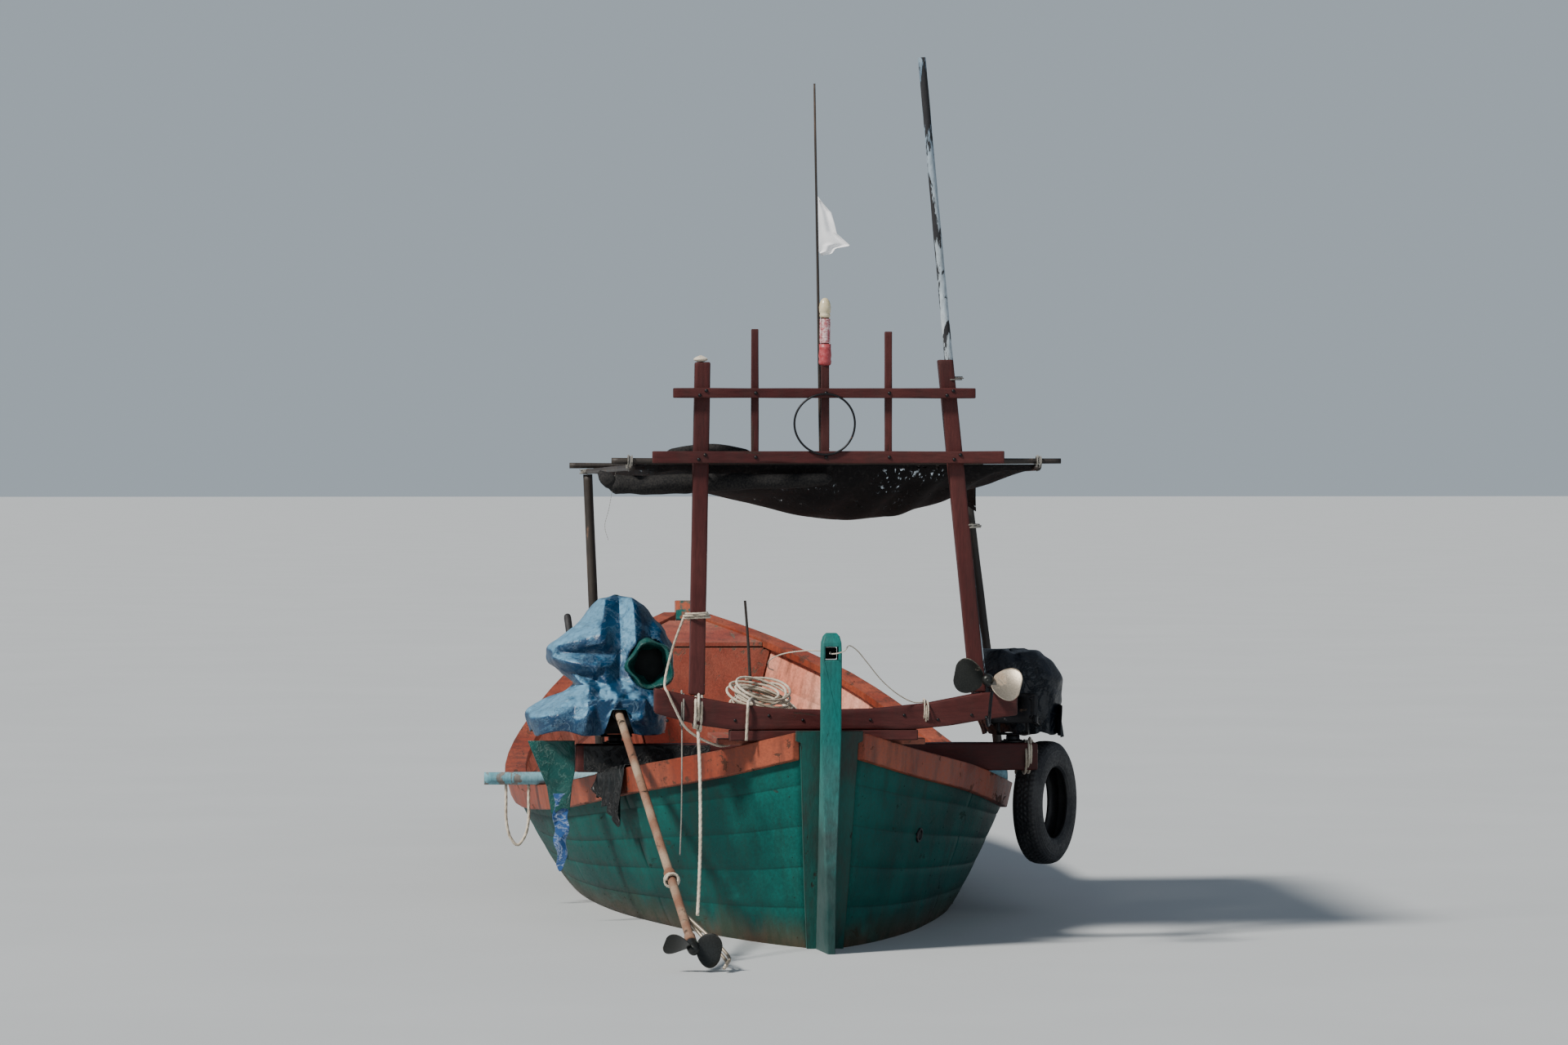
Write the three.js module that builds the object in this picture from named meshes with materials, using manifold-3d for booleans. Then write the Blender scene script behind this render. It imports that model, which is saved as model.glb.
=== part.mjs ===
// Longtail boat: an open wooden hull with two longtail engines on a cross beam at its stern.
// Millimetres. +X points to the bow, +Y to port, +Z up. The origin is amidships on the waterline.
// A place along the boat is given as s, the distance forward of the stern post's face.
import * as THREE from "three";
import { mergeVertices } from "three/addons/utils/BufferGeometryUtils.js";
import Module from "manifold-3d";

const wasm = await Module();
wasm.setup();

// Driving dimensions
const HALF_LENGTH = 4500;
const GAP = 0.3;
const PLANK = 35;
const KEEL_HALF = 45;
const STERN_RAKE = 210;
const RAKE_FADE = 900;
const CAP_HEIGHT = 45;
const CAP_OUT = 30;
const CAP_IN = 80;
const WALE_DROP = 120;
const WALE_OUT = 32;
const SKIN_GAP = 3.5;
const RIB_DEPTH = 55;
const RIB_HALF = 22;
const RISER_DEPTH = 40;
const FLOOR_TOP = 125;
const FLOOR_THICK = 25;
const FIRST_STATION = 50;
const LAST_STATION = 9060;
const KEEL_JOINT = 7900;

// Hull stations: keel line, turn of the bilge and the top of the rail cap
const HULL_COLUMNS = ["s", "keelZ", "turnHalf", "turnZ", "railHalf", "railZ"];
const HULL_ROWS = [
  [50, -150, 80, 0, 125, 955],
  [500, -240, 250, 0, 400, 862],
  [1300, -320, 540, 0, 765, 745],
  [2500, -365, 815, 0, 1090, 598],
  [4000, -380, 915, 0, 1215, 545],
  [5200, -365, 850, 0, 1160, 630],
  [6200, -325, 690, 0, 985, 800],
  [7000, -255, 490, 20, 800, 945],
  [7700, -150, 310, 60, 605, 1050],
  [8200, -10, 190, 180, 445, 1125],
  [8700, 330, 110, 560, 245, 1200],
  [9060, 850, 56, 895, 95, 1250],
];
const RIB_STATIONS = [1100, 1900, 2350, 3150, 3900, 4350, 5100, 5700, 6400, 7100];
const THWARTS = [
  { name: "thwart_aft", s: 2750, width: 220 },
  { name: "thwart_fore", s: 6050, width: 220 },
];

// Stern works
const YOKE = { s: 260, width: 90, portEnd: 745, starEnd: -855, restFrom: -700, restZ: 1120 };
const POST_SIZE = 70;
const BEAM = { s: 1700, size: 130, portEnd: 1020, starEnd: -1130 };

// Engines: the pivot stands on the cross beam, the shaft line runs above the trunnion
const TRUNNION_Z = 930;
const SHAFT_UP = 90;
const SHAFT_R = 12;
const BORE_R = 12.6;
const ENGINES = [
  {
    side: "port", y: 835, yaw: 3.9, pitch: 19.6, tail: 2716, tubeR: 19, blade: 125,
    coverLow: -60, skegRoll: -65, gripRise: 120,
    engine: { from: 180, to: 660, half: 220, top: 330 },
  },
  {
    side: "starboard", y: -1020, yaw: -10.9, pitch: -5.3, tail: 1795, tubeR: 17.5, blade: 150,
    coverLow: -40, skegRoll: 0, gripRise: 300,
    engine: { from: 180, to: 580, half: 160, top: 330 },
  },
];

const COLOURS = {
  hull: ["#1f8f84", 0.75, 0],
  post: ["#2fb0a8", 0.6, 0],
  cap: ["#b5553c", 0.75, 0],
  inside: ["#d98a78", 0.8, 0],
  deck: ["#7c3a30", 0.8, 0],
  redwood: ["#5a2420", 0.75, 0],
  darkwood: ["#2e2824", 0.85, 0],
  pole: ["#3a8fa0", 0.6, 0],
  peeling: ["#9fb4bd", 0.7, 0],
  metal: ["#4a4a48", 0.5, 0.8],
  rust: ["#8a5a3c", 0.8, 0.5],
  engine: ["#3a3c3e", 0.6, 0.3],
  bladeDark: ["#4d5350", 0.5, 0.6],
  tarp: ["#2d6fa8", 0.6, 0],
  tarpGreen: ["#0f6b5c", 0.6, 0],
  cover: ["#16202c", 0.8, 0],
  net: ["#1a1a1c", 0.95, 0],
  tyre: ["#15151a", 0.9, 0],
  rope: ["#cfc4ae", 0.9, 0],
  flag: ["#d8d8d8", 0.9, 0],
  lamp: ["#d9c48a", 0.4, 0],
  tape: ["#a03038", 0.6, 0],
};

const boat = new THREE.Group();

function material(key) {
  const [color, roughness, metalness] = COLOURS[key];
  return new THREE.MeshStandardMaterial({ color, roughness, metalness });
}

function add(name, geometry, key, parent = boat) {
  const mesh = new THREE.Mesh(geometry, material(key));
  mesh.name = name;
  parent.add(mesh);
  return mesh;
}

const X = (s) => s - HALF_LENGTH;
const rad = THREE.MathUtils.degToRad;
const V = (x, y, z) => new THREE.Vector3(x, y, z);
const lerp = THREE.MathUtils.lerp;

// Position-only geometry from points and triangles, turned so that its faces point outwards
function closed(points, triangles) {
  let volume = 0;
  for (const [a, b, c] of triangles) {
    volume += points[a].dot(V(0, 0, 0).crossVectors(points[b], points[c]));
  }
  const order = volume < 0 ? triangles.map(([a, b, c]) => [a, c, b]) : triangles;
  const geometry = new THREE.BufferGeometry();
  const numbers = points.flatMap((p) => [p.x, p.y, p.z]);
  geometry.setAttribute("position", new THREE.Float32BufferAttribute(numbers, 3));
  geometry.setIndex(order.flat());
  return geometry;
}

function bare(geometry) {
  geometry.deleteAttribute("normal");
  geometry.deleteAttribute("uv");
  return mergeVertices(geometry, 1e-4);
}

function toSolid(geometry) {
  const plain = bare(geometry);
  return new wasm.Manifold(new wasm.Mesh({
    numProp: 3,
    vertProperties: new Float32Array(plain.attributes.position.array),
    triVerts: new Uint32Array(plain.index.array),
  }));
}

function toGeometry(solid) {
  const mesh = solid.getMesh();
  const geometry = new THREE.BufferGeometry();
  geometry.setAttribute("position", new THREE.BufferAttribute(new Float32Array(mesh.vertProperties), 3));
  geometry.setIndex(new THREE.BufferAttribute(new Uint32Array(mesh.triVerts), 1));
  return geometry;
}

function join(...geometries) {
  return toGeometry(geometries.map(toSolid).reduce((whole, piece) => whole.add(piece)));
}

function cut(geometry, ...tools) {
  return toGeometry(tools.map(toSolid).reduce((whole, tool) => whole.subtract(tool), toSolid(geometry)));
}

function box(x0, x1, y0, y1, z0, z1) {
  const geometry = new THREE.BoxGeometry(x1 - x0, y1 - y0, z1 - z0);
  geometry.translate((x0 + x1) / 2, (y0 + y1) / 2, (z0 + z1) / 2);
  return bare(geometry);
}

// A round bar from one point to another
function rod(from, to, radius, sides = 16, farRadius = radius) {
  const length = from.distanceTo(to);
  const geometry = new THREE.CylinderGeometry(farRadius, radius, length, sides);
  geometry.translate(0, length / 2, 0);
  const turn = new THREE.Quaternion().setFromUnitVectors(V(0, 1, 0), to.clone().sub(from).normalize());
  geometry.applyQuaternion(turn);
  geometry.translate(from.x, from.y, from.z);
  return bare(geometry);
}

// A round cord along a smooth curve through the points
function tube(points, radius, steps) {
  const section = new THREE.Shape();
  for (let i = 0; i < 8; i++) {
    const a = (i / 8) * Math.PI * 2;
    if (i === 0) section.moveTo(radius, 0);
    else section.lineTo(radius * Math.cos(a), radius * Math.sin(a));
  }
  const path = new THREE.CatmullRomCurve3(points);
  return bare(new THREE.ExtrudeGeometry(section, { steps, extrudePath: path, bevelEnabled: false }));
}

// A body turned about the Z axis from a profile of [radius, height]
function turnedBody(profile, sides) {
  const geometry = new THREE.LatheGeometry(profile.map(([r, h]) => new THREE.Vector2(r, h)), sides);
  geometry.rotateX(Math.PI / 2);
  const plain = bare(geometry);
  const at = plain.attributes.position;
  const points = Array.from({ length: at.count }, (_, i) => V(0, 0, 0).fromBufferAttribute(at, i));
  const order = Array.from(plain.index.array);
  const triangles = Array.from({ length: order.length / 3 }, (_, i) => order.slice(3 * i, 3 * i + 3));
  return closed(points, triangles);
}

// A square bar from one point to another, with its sides along the boat
function squareBar(from, to, size) {
  const half = size / 2;
  const corners = [[-half, -half], [half, -half], [half, half], [-half, half]];
  const ring = (p) => corners.map(([dx, dy]) => V(p.x + dx, p.y + dy, p.z));
  return loft([ring(from), ring(to)]);
}

// Closed body through equal loops, capped by a fan at each end
function loft(loops) {
  const n = loops[0].length;
  const points = loops.flat();
  const triangles = [];
  for (let i = 0; i < loops.length - 1; i++) {
    for (let j = 0; j < n; j++) {
      const a = i * n + j;
      const b = i * n + ((j + 1) % n);
      triangles.push([a, b, b + n], [a, b + n, a + n]);
    }
  }
  for (const [start, flip] of [[0, true], [(loops.length - 1) * n, false]]) {
    const flat = capTriangles(loops[start / n]);
    for (const [a, b, c] of flat) {
      triangles.push(flip ? [start + a, start + c, start + b] : [start + a, start + b, start + c]);
    }
  }
  return closed(points, triangles);
}

// Triangles over a flat or nearly flat loop, found in its own plane
function capTriangles(loop) {
  const centre = loop.reduce((sum, p) => sum.add(p), V(0, 0, 0)).divideScalar(loop.length);
  const normal = V(0, 0, 0);
  loop.forEach((p, i) => {
    const q = loop[(i + 1) % loop.length];
    normal.add(V(0, 0, 0).crossVectors(p.clone().sub(centre), q.clone().sub(centre)));
  });
  normal.normalize();
  const along = loop[1].clone().sub(loop[0]).normalize();
  const across = V(0, 0, 0).crossVectors(normal, along).normalize();
  const flat = loop.map((p) => {
    const d = p.clone().sub(centre);
    return new THREE.Vector2(d.dot(along), d.dot(across));
  });
  return THREE.ShapeUtils.triangulateShape(flat, []);
}

// A flat outline in the X Z plane given as [s, z], made as wide as its half width both ways
function profileAcross(outline, half) {
  const ring = (y) => outline.map(([s, z]) => V(X(s), y, z));
  return loft([ring(-half), ring(half)]);
}

// A flat outline in the Y Z plane given as [y, z], run along the boat between two places
function profileAlong(outline, s0, s1) {
  const ring = (s) => outline.map(([y, z]) => V(X(s), y, z));
  return loft([ring(s0), ring(s1)]);
}

// Hull shape: each column of the station table follows a smooth curve through its rows
function column(key, s) {
  const c = HULL_COLUMNS.indexOf(key);
  const rows = HULL_ROWS;
  let i = rows.findIndex((row) => row[0] >= s);
  i = Math.max(1, i < 0 ? rows.length - 1 : i);
  const slope = (k) => {
    const a = rows[Math.max(k - 1, 0)];
    const b = rows[Math.min(k + 1, rows.length - 1)];
    return (b[c] - a[c]) / (b[0] - a[0]);
  };
  const [p, q] = [rows[i - 1], rows[i]];
  const h = q[0] - p[0];
  const t = (s - p[0]) / h;
  const [t2, t3] = [t * t, t * t * t];
  return (2 * t3 - 3 * t2 + 1) * p[c] + (t3 - 2 * t2 + t) * h * slope(i - 1)
    + (3 * t2 - 2 * t3) * q[c] + (t3 - t2) * h * slope(i);
}

const BILGE_ANGLES = [0, 30, 60, 90].map(rad);
const SIDE_PARTS = [0.3, 0.55, 0.68, 0.85, 1];
const RAIL = BILGE_ANGLES.length + SIDE_PARTS.length - 1;
const RISER_LOW = RAIL - 3;
const RISER_HIGH = RAIL - 2;
const RIB_HEAD = RAIL - 1;
const RIB_FOOT = BILGE_ANGLES.length - 1;

// Share of the flare reached at a part of the side's height: bowed low down and straight above
const STRAIGHT_FROM = 0.55;
function flare(f) {
  if (f < STRAIGHT_FROM) return f ** 0.85;
  return lerp(STRAIGHT_FROM ** 0.85, 1, (f - STRAIGHT_FROM) / (1 - STRAIGHT_FROM));
}

// The planks' edge along the keel is a little thicker than the planks, and the section always climbs
const KEEL_EDGE = 1.15;
const LEAST_RISE = 2;

// Half section at s as [y, z] from the keel to the rail, set in from the outer skin by depth
function section(s, depth = 0) {
  const keelZ = column("keelZ", s);
  const turn = [column("turnHalf", s), column("turnZ", s)];
  const rail = [column("railHalf", s), column("railZ", s) - CAP_HEIGHT - GAP];
  const side = KEEL_HALF + GAP;
  const skin = [];
  for (const a of BILGE_ANGLES) {
    skin.push([side + (turn[0] - side) * Math.sin(a), turn[1] - (turn[1] - keelZ) * Math.cos(a)]);
  }
  for (const f of SIDE_PARTS) {
    skin.push([lerp(turn[0], rail[0], flare(f)), lerp(turn[1], rail[1], f)]);
  }
  let lowest = -Infinity;
  return skin.map(([y, z], j) => {
    if (j === RAIL) return [Math.max(side, y - depth), z];
    const [a, b] = [skin[Math.max(j - 1, 0)], skin[j + 1]];
    const length = Math.hypot(b[0] - a[0], b[1] - a[1]);
    const rise = j === 0 ? depth * KEEL_EDGE : (depth * (b[0] - a[0])) / length;
    lowest = Math.max(lowest + LEAST_RISE, z + rise);
    return [j === 0 ? side : Math.max(side, y - (depth * (b[1] - a[1])) / length), lowest];
  });
}

// Half width of the skin at a height, set in by depth
function halfAt(s, z, depth = 0) {
  const line = section(s, depth);
  const j = Math.min(Math.max(line.findIndex((p) => p[1] >= z), 1), RAIL);
  const [a, b] = [line[j - 1], line[j]];
  return lerp(a[0], b[0], (z - a[1]) / (b[1] - a[1]));
}

// The planks' after ends lie further forward the lower they are
function rake(z, s = FIRST_STATION) {
  const fade = Math.max(0, 1 - s / RAKE_FADE) ** 2;
  const first = Math.max(0, 1 - FIRST_STATION / RAKE_FADE) ** 2;
  return (STERN_RAKE * (1 - z / HULL_ROWS[0][5]) * fade) / first;
}

const hullPoint = (s, [y, z], hand) => V(X(s + rake(z, s)), hand * y, z);

const STATIONS = [...new Set([
  FIRST_STATION, 200, 350, 500, 700, 900, 1300, 1600, 2100, 2600, 3500, 4700, 5450, 6000, 6700, 7400, 7700,
  8000, 8200, 8400, 8600, 8800, 8950, LAST_STATION,
  ...RIB_STATIONS.flatMap((s) => [s - RIB_HALF, s + RIB_HALF]),
])].sort((a, b) => a - b);

// Curved block of the hull's side between two stations, two lines of the section and two depths
function hullBlock(hand, s0, s1, low, high, near, far) {
  const places = STATIONS.filter((s) => s >= s0 && s <= s1);
  const rings = places.map((s) => {
    const outer = section(s, near).slice(low, high + 1);
    const inner = section(s, far).slice(low, high + 1).reverse();
    return [...outer, ...inner].map((p) => hullPoint(s, p, hand));
  });
  return loftStrip(rings, high - low + 1);
}

// Loft of rings that are thin strips: each end is closed by quads between the strip's two sides.
// Both faces split their quads along the same diagonal, so that parallel blocks stay parallel.
function loftStrip(rings, count) {
  const n = count * 2;
  const points = rings.flat();
  const triangles = [];
  for (let i = 0; i < rings.length - 1; i++) {
    for (let j = 0; j < n; j++) {
      const a = i * n + j;
      const b = i * n + ((j + 1) % n);
      if (j < count) triangles.push([a, b, b + n], [a, b + n, a + n]);
      else triangles.push([a, b, a + n], [b, b + n, a + n]);
    }
  }
  for (const [start, flip] of [[0, true], [(rings.length - 1) * n, false]]) {
    for (let j = 0; j < count - 1; j++) {
      const [a, b, c, d] = [start + j, start + j + 1, start + n - 2 - j, start + n - 1 - j];
      triangles.push(...(flip ? [[a, c, b], [a, d, c]] : [[a, b, c], [a, c, d]]));
    }
  }
  return closed(points, triangles);
}

// Keel line as [s, z] moved square to itself by out, negative outwards
function keelLine(s0, s1, out, step = 300) {
  const count = Math.max(1, Math.ceil((s1 - s0) / step));
  const line = [];
  for (let i = 0; i <= count; i++) {
    const s = lerp(s0, s1, i / count);
    const slope = (column("keelZ", s + 5) - column("keelZ", s - 5)) / 10;
    const length = Math.hypot(1, slope);
    line.push([s - (out * slope) / length, column("keelZ", s) + out / length]);
  }
  return line;
}

const KEEL_OUT = 70;
const KEEL_IN = 50;
const KEEL_AFT = { s: -110, top: -205, low: -275 };

function makeBackbone() {
  const below = keelLine(500, KEEL_JOINT, -KEEL_OUT);
  const above = keelLine(500, KEEL_JOINT, KEEL_IN).reverse();
  const heel = [[KEEL_AFT.s, KEEL_AFT.top], [KEEL_AFT.s, KEEL_AFT.low]];
  add("keel", profileAcross([...heel, ...below, ...above, [330, KEEL_AFT.top]], KEEL_HALF), "hull");

  const stemLow = keelLine(KEEL_JOINT + GAP, LAST_STATION, -KEEL_OUT, 150);
  const stemHigh = keelLine(KEEL_JOINT + GAP, LAST_STATION - 60, KEEL_IN, 150).reverse();
  const head = [[9185, 1120], [9225, 1312], [9120, 1318], [9075, 1200]];
  add("bow_stem", profileAcross([...stemLow, ...head, ...stemHigh], KEEL_HALF), "post");
}

// The transom is a narrow board over the planks' after ends
const TRANSOM = { aft: 5, lift: 8 };

function makeTransom() {
  const line = section(FIRST_STATION);
  const rail = line[RAIL];
  const top = [rail[0] + CAP_OUT - 10, HULL_ROWS[0][5] + TRANSOM.lift];
  const half = [...line.slice(0, RAIL), rail, [top[0], rail[1] + 10], top];
  const outline = [...half, ...half.map(([y, z]) => [-y, z]).reverse()];
  const ring = (s) => outline.map(([y, z]) => V(X(s + rake(z)), y, z));
  add("transom", loft([ring(TRANSOM.aft), ring(FIRST_STATION - GAP)]), "hull");
}

// Stern post: each level gives its height, its after edge and its half widths aft and forward
const POST_LEVELS = [
  [KEEL_AFT.top + GAP, -90, 14, 42],
  [0, -75, 15, 42],
  [400, -55, 24, 42],
  [750, -62, 38, 42],
  [960, -84, 42, 43],
  [1300, -104, 43, 43],
  [1350, -101, 41, 41],
  [1378, -92, 34, 34],
  [1392, -76, 22, 22],
];
const POST_FRONT = 2;
const MORTISE = { half: 29, low: 1275, high: 1332 };

function makeSternPost() {
  const levels = POST_LEVELS.map(([z, aft, halfAft, halfFore]) => {
    const reach = z > 1360 ? aft + 104 - 2 * (POST_FRONT - TRANSOM.aft) : 0;
    const fore = Math.min(POST_FRONT, TRANSOM.aft) - reach + (z < HULL_ROWS[0][5] ? rake(z) : 0);
    const high = z >= HULL_ROWS[0][5] ? -6 : -GAP - 2;
    return [V(X(aft), halfAft, z), V(X(fore + high), halfFore, z), V(X(fore + high), -halfFore, z),
      V(X(aft), -halfAft, z)];
  });
  const hole = box(X(-200), X(60), -MORTISE.half, MORTISE.half, MORTISE.low, MORTISE.high);
  add("stern_post", cut(loft(levels), hole), "post");
}

function gunwale(hand) {
  const places = STATIONS.filter((s) => s <= LAST_STATION);
  const rings = places.map((s) => {
    const half = column("railHalf", s);
    const top = column("railZ", s);
    const low = top - WALE_DROP;
    const inner = Math.max(half - CAP_IN, KEEL_HALF + 2);
    const skin = halfAt(s, low) + SKIN_GAP;
    const outline = [
      [half + CAP_OUT, top], [inner, top], [inner, top - CAP_HEIGHT], [half + SKIN_GAP, top - CAP_HEIGHT],
      [skin, low], [skin + WALE_OUT, low],
    ];
    return outline.map(([y, z]) => V(X(s + rake(z, s)), hand * y, z));
  });
  return loft(rings);
}

function makeHullSides() {
  for (const [side, hand] of [["port", 1], ["starboard", -1]]) {
    add(`planking_${side}`, hullBlock(hand, FIRST_STATION, LAST_STATION, 0, RAIL, 0, PLANK), "hull");
    add(`gunwale_${side}`, gunwale(hand), "cap");
    const near = PLANK + GAP;
    const parts = RIB_STATIONS.map((s) =>
      hullBlock(hand, s - RIB_HALF, s + RIB_HALF, RIB_FOOT, RIB_HEAD, near, near + RIB_DEPTH));
    const riserFrom = RIB_STATIONS[0] - RIB_HALF;
    const riserTo = RIB_STATIONS[RIB_STATIONS.length - 1] + RIB_HALF;
    parts.push(hullBlock(hand, riserFrom, riserTo, RISER_LOW, RISER_HIGH, near, near + RISER_DEPTH));
    add(`frames_${side}`, join(...parts), "inside");
  }
}

// Floor timber at s: a board across the bottom from frame foot to frame foot, under the floor boards
const TIMBER_TOP = FLOOR_TOP - FLOOR_THICK - GAP;
const KEEL_CLEAR = 3;
const TIMBER_CLEAR = 1.2;
const BEARER = { half: 50, deep: 40 };

function floorTimber(s) {
  const near = PLANK + TIMBER_CLEAR;
  const far = PLANK + GAP + RIB_DEPTH + TIMBER_CLEAR;
  const ring = (at) => {
    const keelTop = column("keelZ", at) + KEEL_IN + KEEL_CLEAR;
    const half = [[KEEL_HALF + GAP, keelTop], ...section(at, near).slice(1, RIB_FOOT),
      section(at, far)[RIB_FOOT], [halfAt(at, TIMBER_TOP, far), TIMBER_TOP]];
    const outline = [...half, ...half.map(([y, z]) => [-y, z]).reverse()];
    return outline.map(([y, z]) => V(X(at), y, z));
  };
  return loft([ring(s - RIB_HALF), ring(s + RIB_HALF)]);
}

// Flat board between the sides at one level, its edges kept clear of a given depth of the side
function levelBoard(s0, s1, low, high, depth) {
  const places = [s0, ...STATIONS.filter((s) => s > s0 && s < s1), s1];
  const rings = places.map((s) => {
    const half = Math.min(halfAt(s, low, depth), halfAt(s, high, depth));
    return [V(X(s), half, low), V(X(s), half, high), V(X(s), -half, high), V(X(s), -half, low)];
  });
  return loft(rings);
}

// Top of the rail cap at a place near the stern, where the rake moves the caps forward
const capTop = (s) => column("railZ", s - rake(column("railZ", s), s)) + 0.4;

// Highest point of the riser at a station
function riserTop(s) {
  const depths = [PLANK + GAP, PLANK + GAP + RISER_DEPTH];
  return Math.max(...depths.map((depth) => section(s, depth)[RISER_HIGH][1]));
}

const THWART_THICK = 36;
const FLOOR = { from: 1200, to: 7000 };
const FORE_DECK = { from: 8120, to: 8840, thick: 25, drop: 14 };
const BULKHEAD = { s: 8085, thick: 30 };
const STERN_DECK = { from: 380, to: 1000, half: 460, thick: 28 };

function makeInside() {
  const bearer = box(X(RIB_STATIONS[0] - RIB_HALF), X(RIB_STATIONS[RIB_STATIONS.length - 1] + RIB_HALF),
    -BEARER.half, BEARER.half, TIMBER_TOP - BEARER.deep, TIMBER_TOP);
  add("floor_timbers", join(bearer, ...RIB_STATIONS.map(floorTimber)), "inside");
  add("floor_boards", levelBoard(FLOOR.from, FLOOR.to, FLOOR_TOP - FLOOR_THICK, FLOOR_TOP,
    PLANK + GAP + RIB_DEPTH + 1), "inside");
  for (const t of THWARTS) {
    const ends = [t.s - t.width / 2, t.s + t.width / 2];
    const seat = Math.max(...ends.map(riserTop)) + 1;
    add(t.name, levelBoard(...ends, seat, seat + THWART_THICK, PLANK + 6), "inside");
  }

  const { from, to, thick, drop } = FORE_DECK;
  const rise = (s) => (s - from) / (to - from);
  const deckZ = (s) => lerp(column("railZ", from), column("railZ", to), rise(s)) - drop;
  const places = [from, ...STATIONS.filter((s) => s > from && s < to), to];
  const rings = places.map((s) => {
    const half = column("railHalf", s) - CAP_IN - 1;
    const [high, low] = [deckZ(s), deckZ(s) - thick];
    return [V(X(s), half, low), V(X(s), half, high), V(X(s), -half, high), V(X(s), -half, low)];
  });
  add("fore_deck", loft(rings), "deck");

  const face = BULKHEAD.s + BULKHEAD.thick;
  const wall = section(face, PLANK + 5);
  const top = deckZ(BULKHEAD.s) - thick - GAP - 2;
  const low = column("keelZ", BULKHEAD.s) + KEEL_IN + 12;
  const shoulder = column("railZ", BULKHEAD.s) - CAP_HEIGHT - 6;
  const crown = column("railHalf", face) - CAP_IN - 0.6;
  const half = wall.filter(([, z]) => z > low + 20 && z < shoulder - 20);
  const outline = [[KEEL_HALF, low + 18], ...half, [halfAt(face, shoulder, PLANK + 5), shoulder],
    [crown, shoulder], [crown, top]];
  const whole = [...outline, ...outline.map(([y, z]) => [-y, z]).reverse()];
  add("fore_bulkhead", profileAlong(whole, BULKHEAD.s, BULKHEAD.s + BULKHEAD.thick), "deck");

  const deckLow = capTop(STERN_DECK.from) + GAP;
  add("stern_deck", box(X(STERN_DECK.from), X(STERN_DECK.to), -STERN_DECK.half, STERN_DECK.half,
    deckLow, deckLow + STERN_DECK.thick), "deck");
}

// Yoke: a bent beam across the stern, its ends higher than its middle
function makeYoke() {
  const chockTop = 956;
  const [aft, fore] = [YOKE.s + 5, YOKE.s + YOKE.width - 5];
  add("yoke_chock", box(X(aft), X(fore), -415, 415, capTop(aft) + GAP, chockTop), "redwood");
  const top = [
    [YOKE.portEnd, 1145], [600, 1112], [420, 1078], [220, 1053], [0, 1044], [-220, 1050], [-450, 1072],
    [YOKE.restFrom, YOKE.restZ], [YOKE.starEnd, YOKE.restZ],
  ];
  const bottom = [
    [YOKE.starEnd, 1016], [-700, 996], [-560, 972], [-400, chockTop + GAP], [400, chockTop + GAP],
    [540, 976], [YOKE.portEnd, 1030],
  ];
  add("yoke", profileAlong([...top, ...bottom], YOKE.s, YOKE.s + YOKE.width), "redwood");
}

// Gallows: two posts on the yoke carry two crossbars with short uprights and the lamp post
const GALLOWS_POSTS = [
  { name: "gallows_post_port", footY: 558, footZ: 1111, topY: 532, topZ: 2570 },
  { name: "gallows_post_starboard", footY: -683, footZ: 1120.3, topY: -538, topZ: 2582 },
];
const CROSSBARS = [
  { name: "crossbar_lower", z: 2153, height: 56, from: 755, to: -793 },
  { name: "crossbar_upper", z: 2434, height: 46, from: 664, to: -666 },
];
const UPRIGHTS = [
  { name: "upright_port", y: 303, top: 2715, size: 34 },
  { name: "lamp_post", y: -6, top: 2765, size: 38 },
  { name: "upright_starboard", y: -285, top: 2705, size: 34 },
];
const STAFF = { low: [10, 2130], high: [38, 3794], lowR: 8, highR: 5 };
const FLAG_EDGE = [[0, 3300], [-60, 3240], [-78, 3150], [-140, 3096], [-72, 3085], [-58, 3062], [0, 3052]];
const POST_AFT = YOKE.s + 12;
const BAR_THICK = 34;
const BAR_FORE = POST_AFT - GAP;

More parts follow.
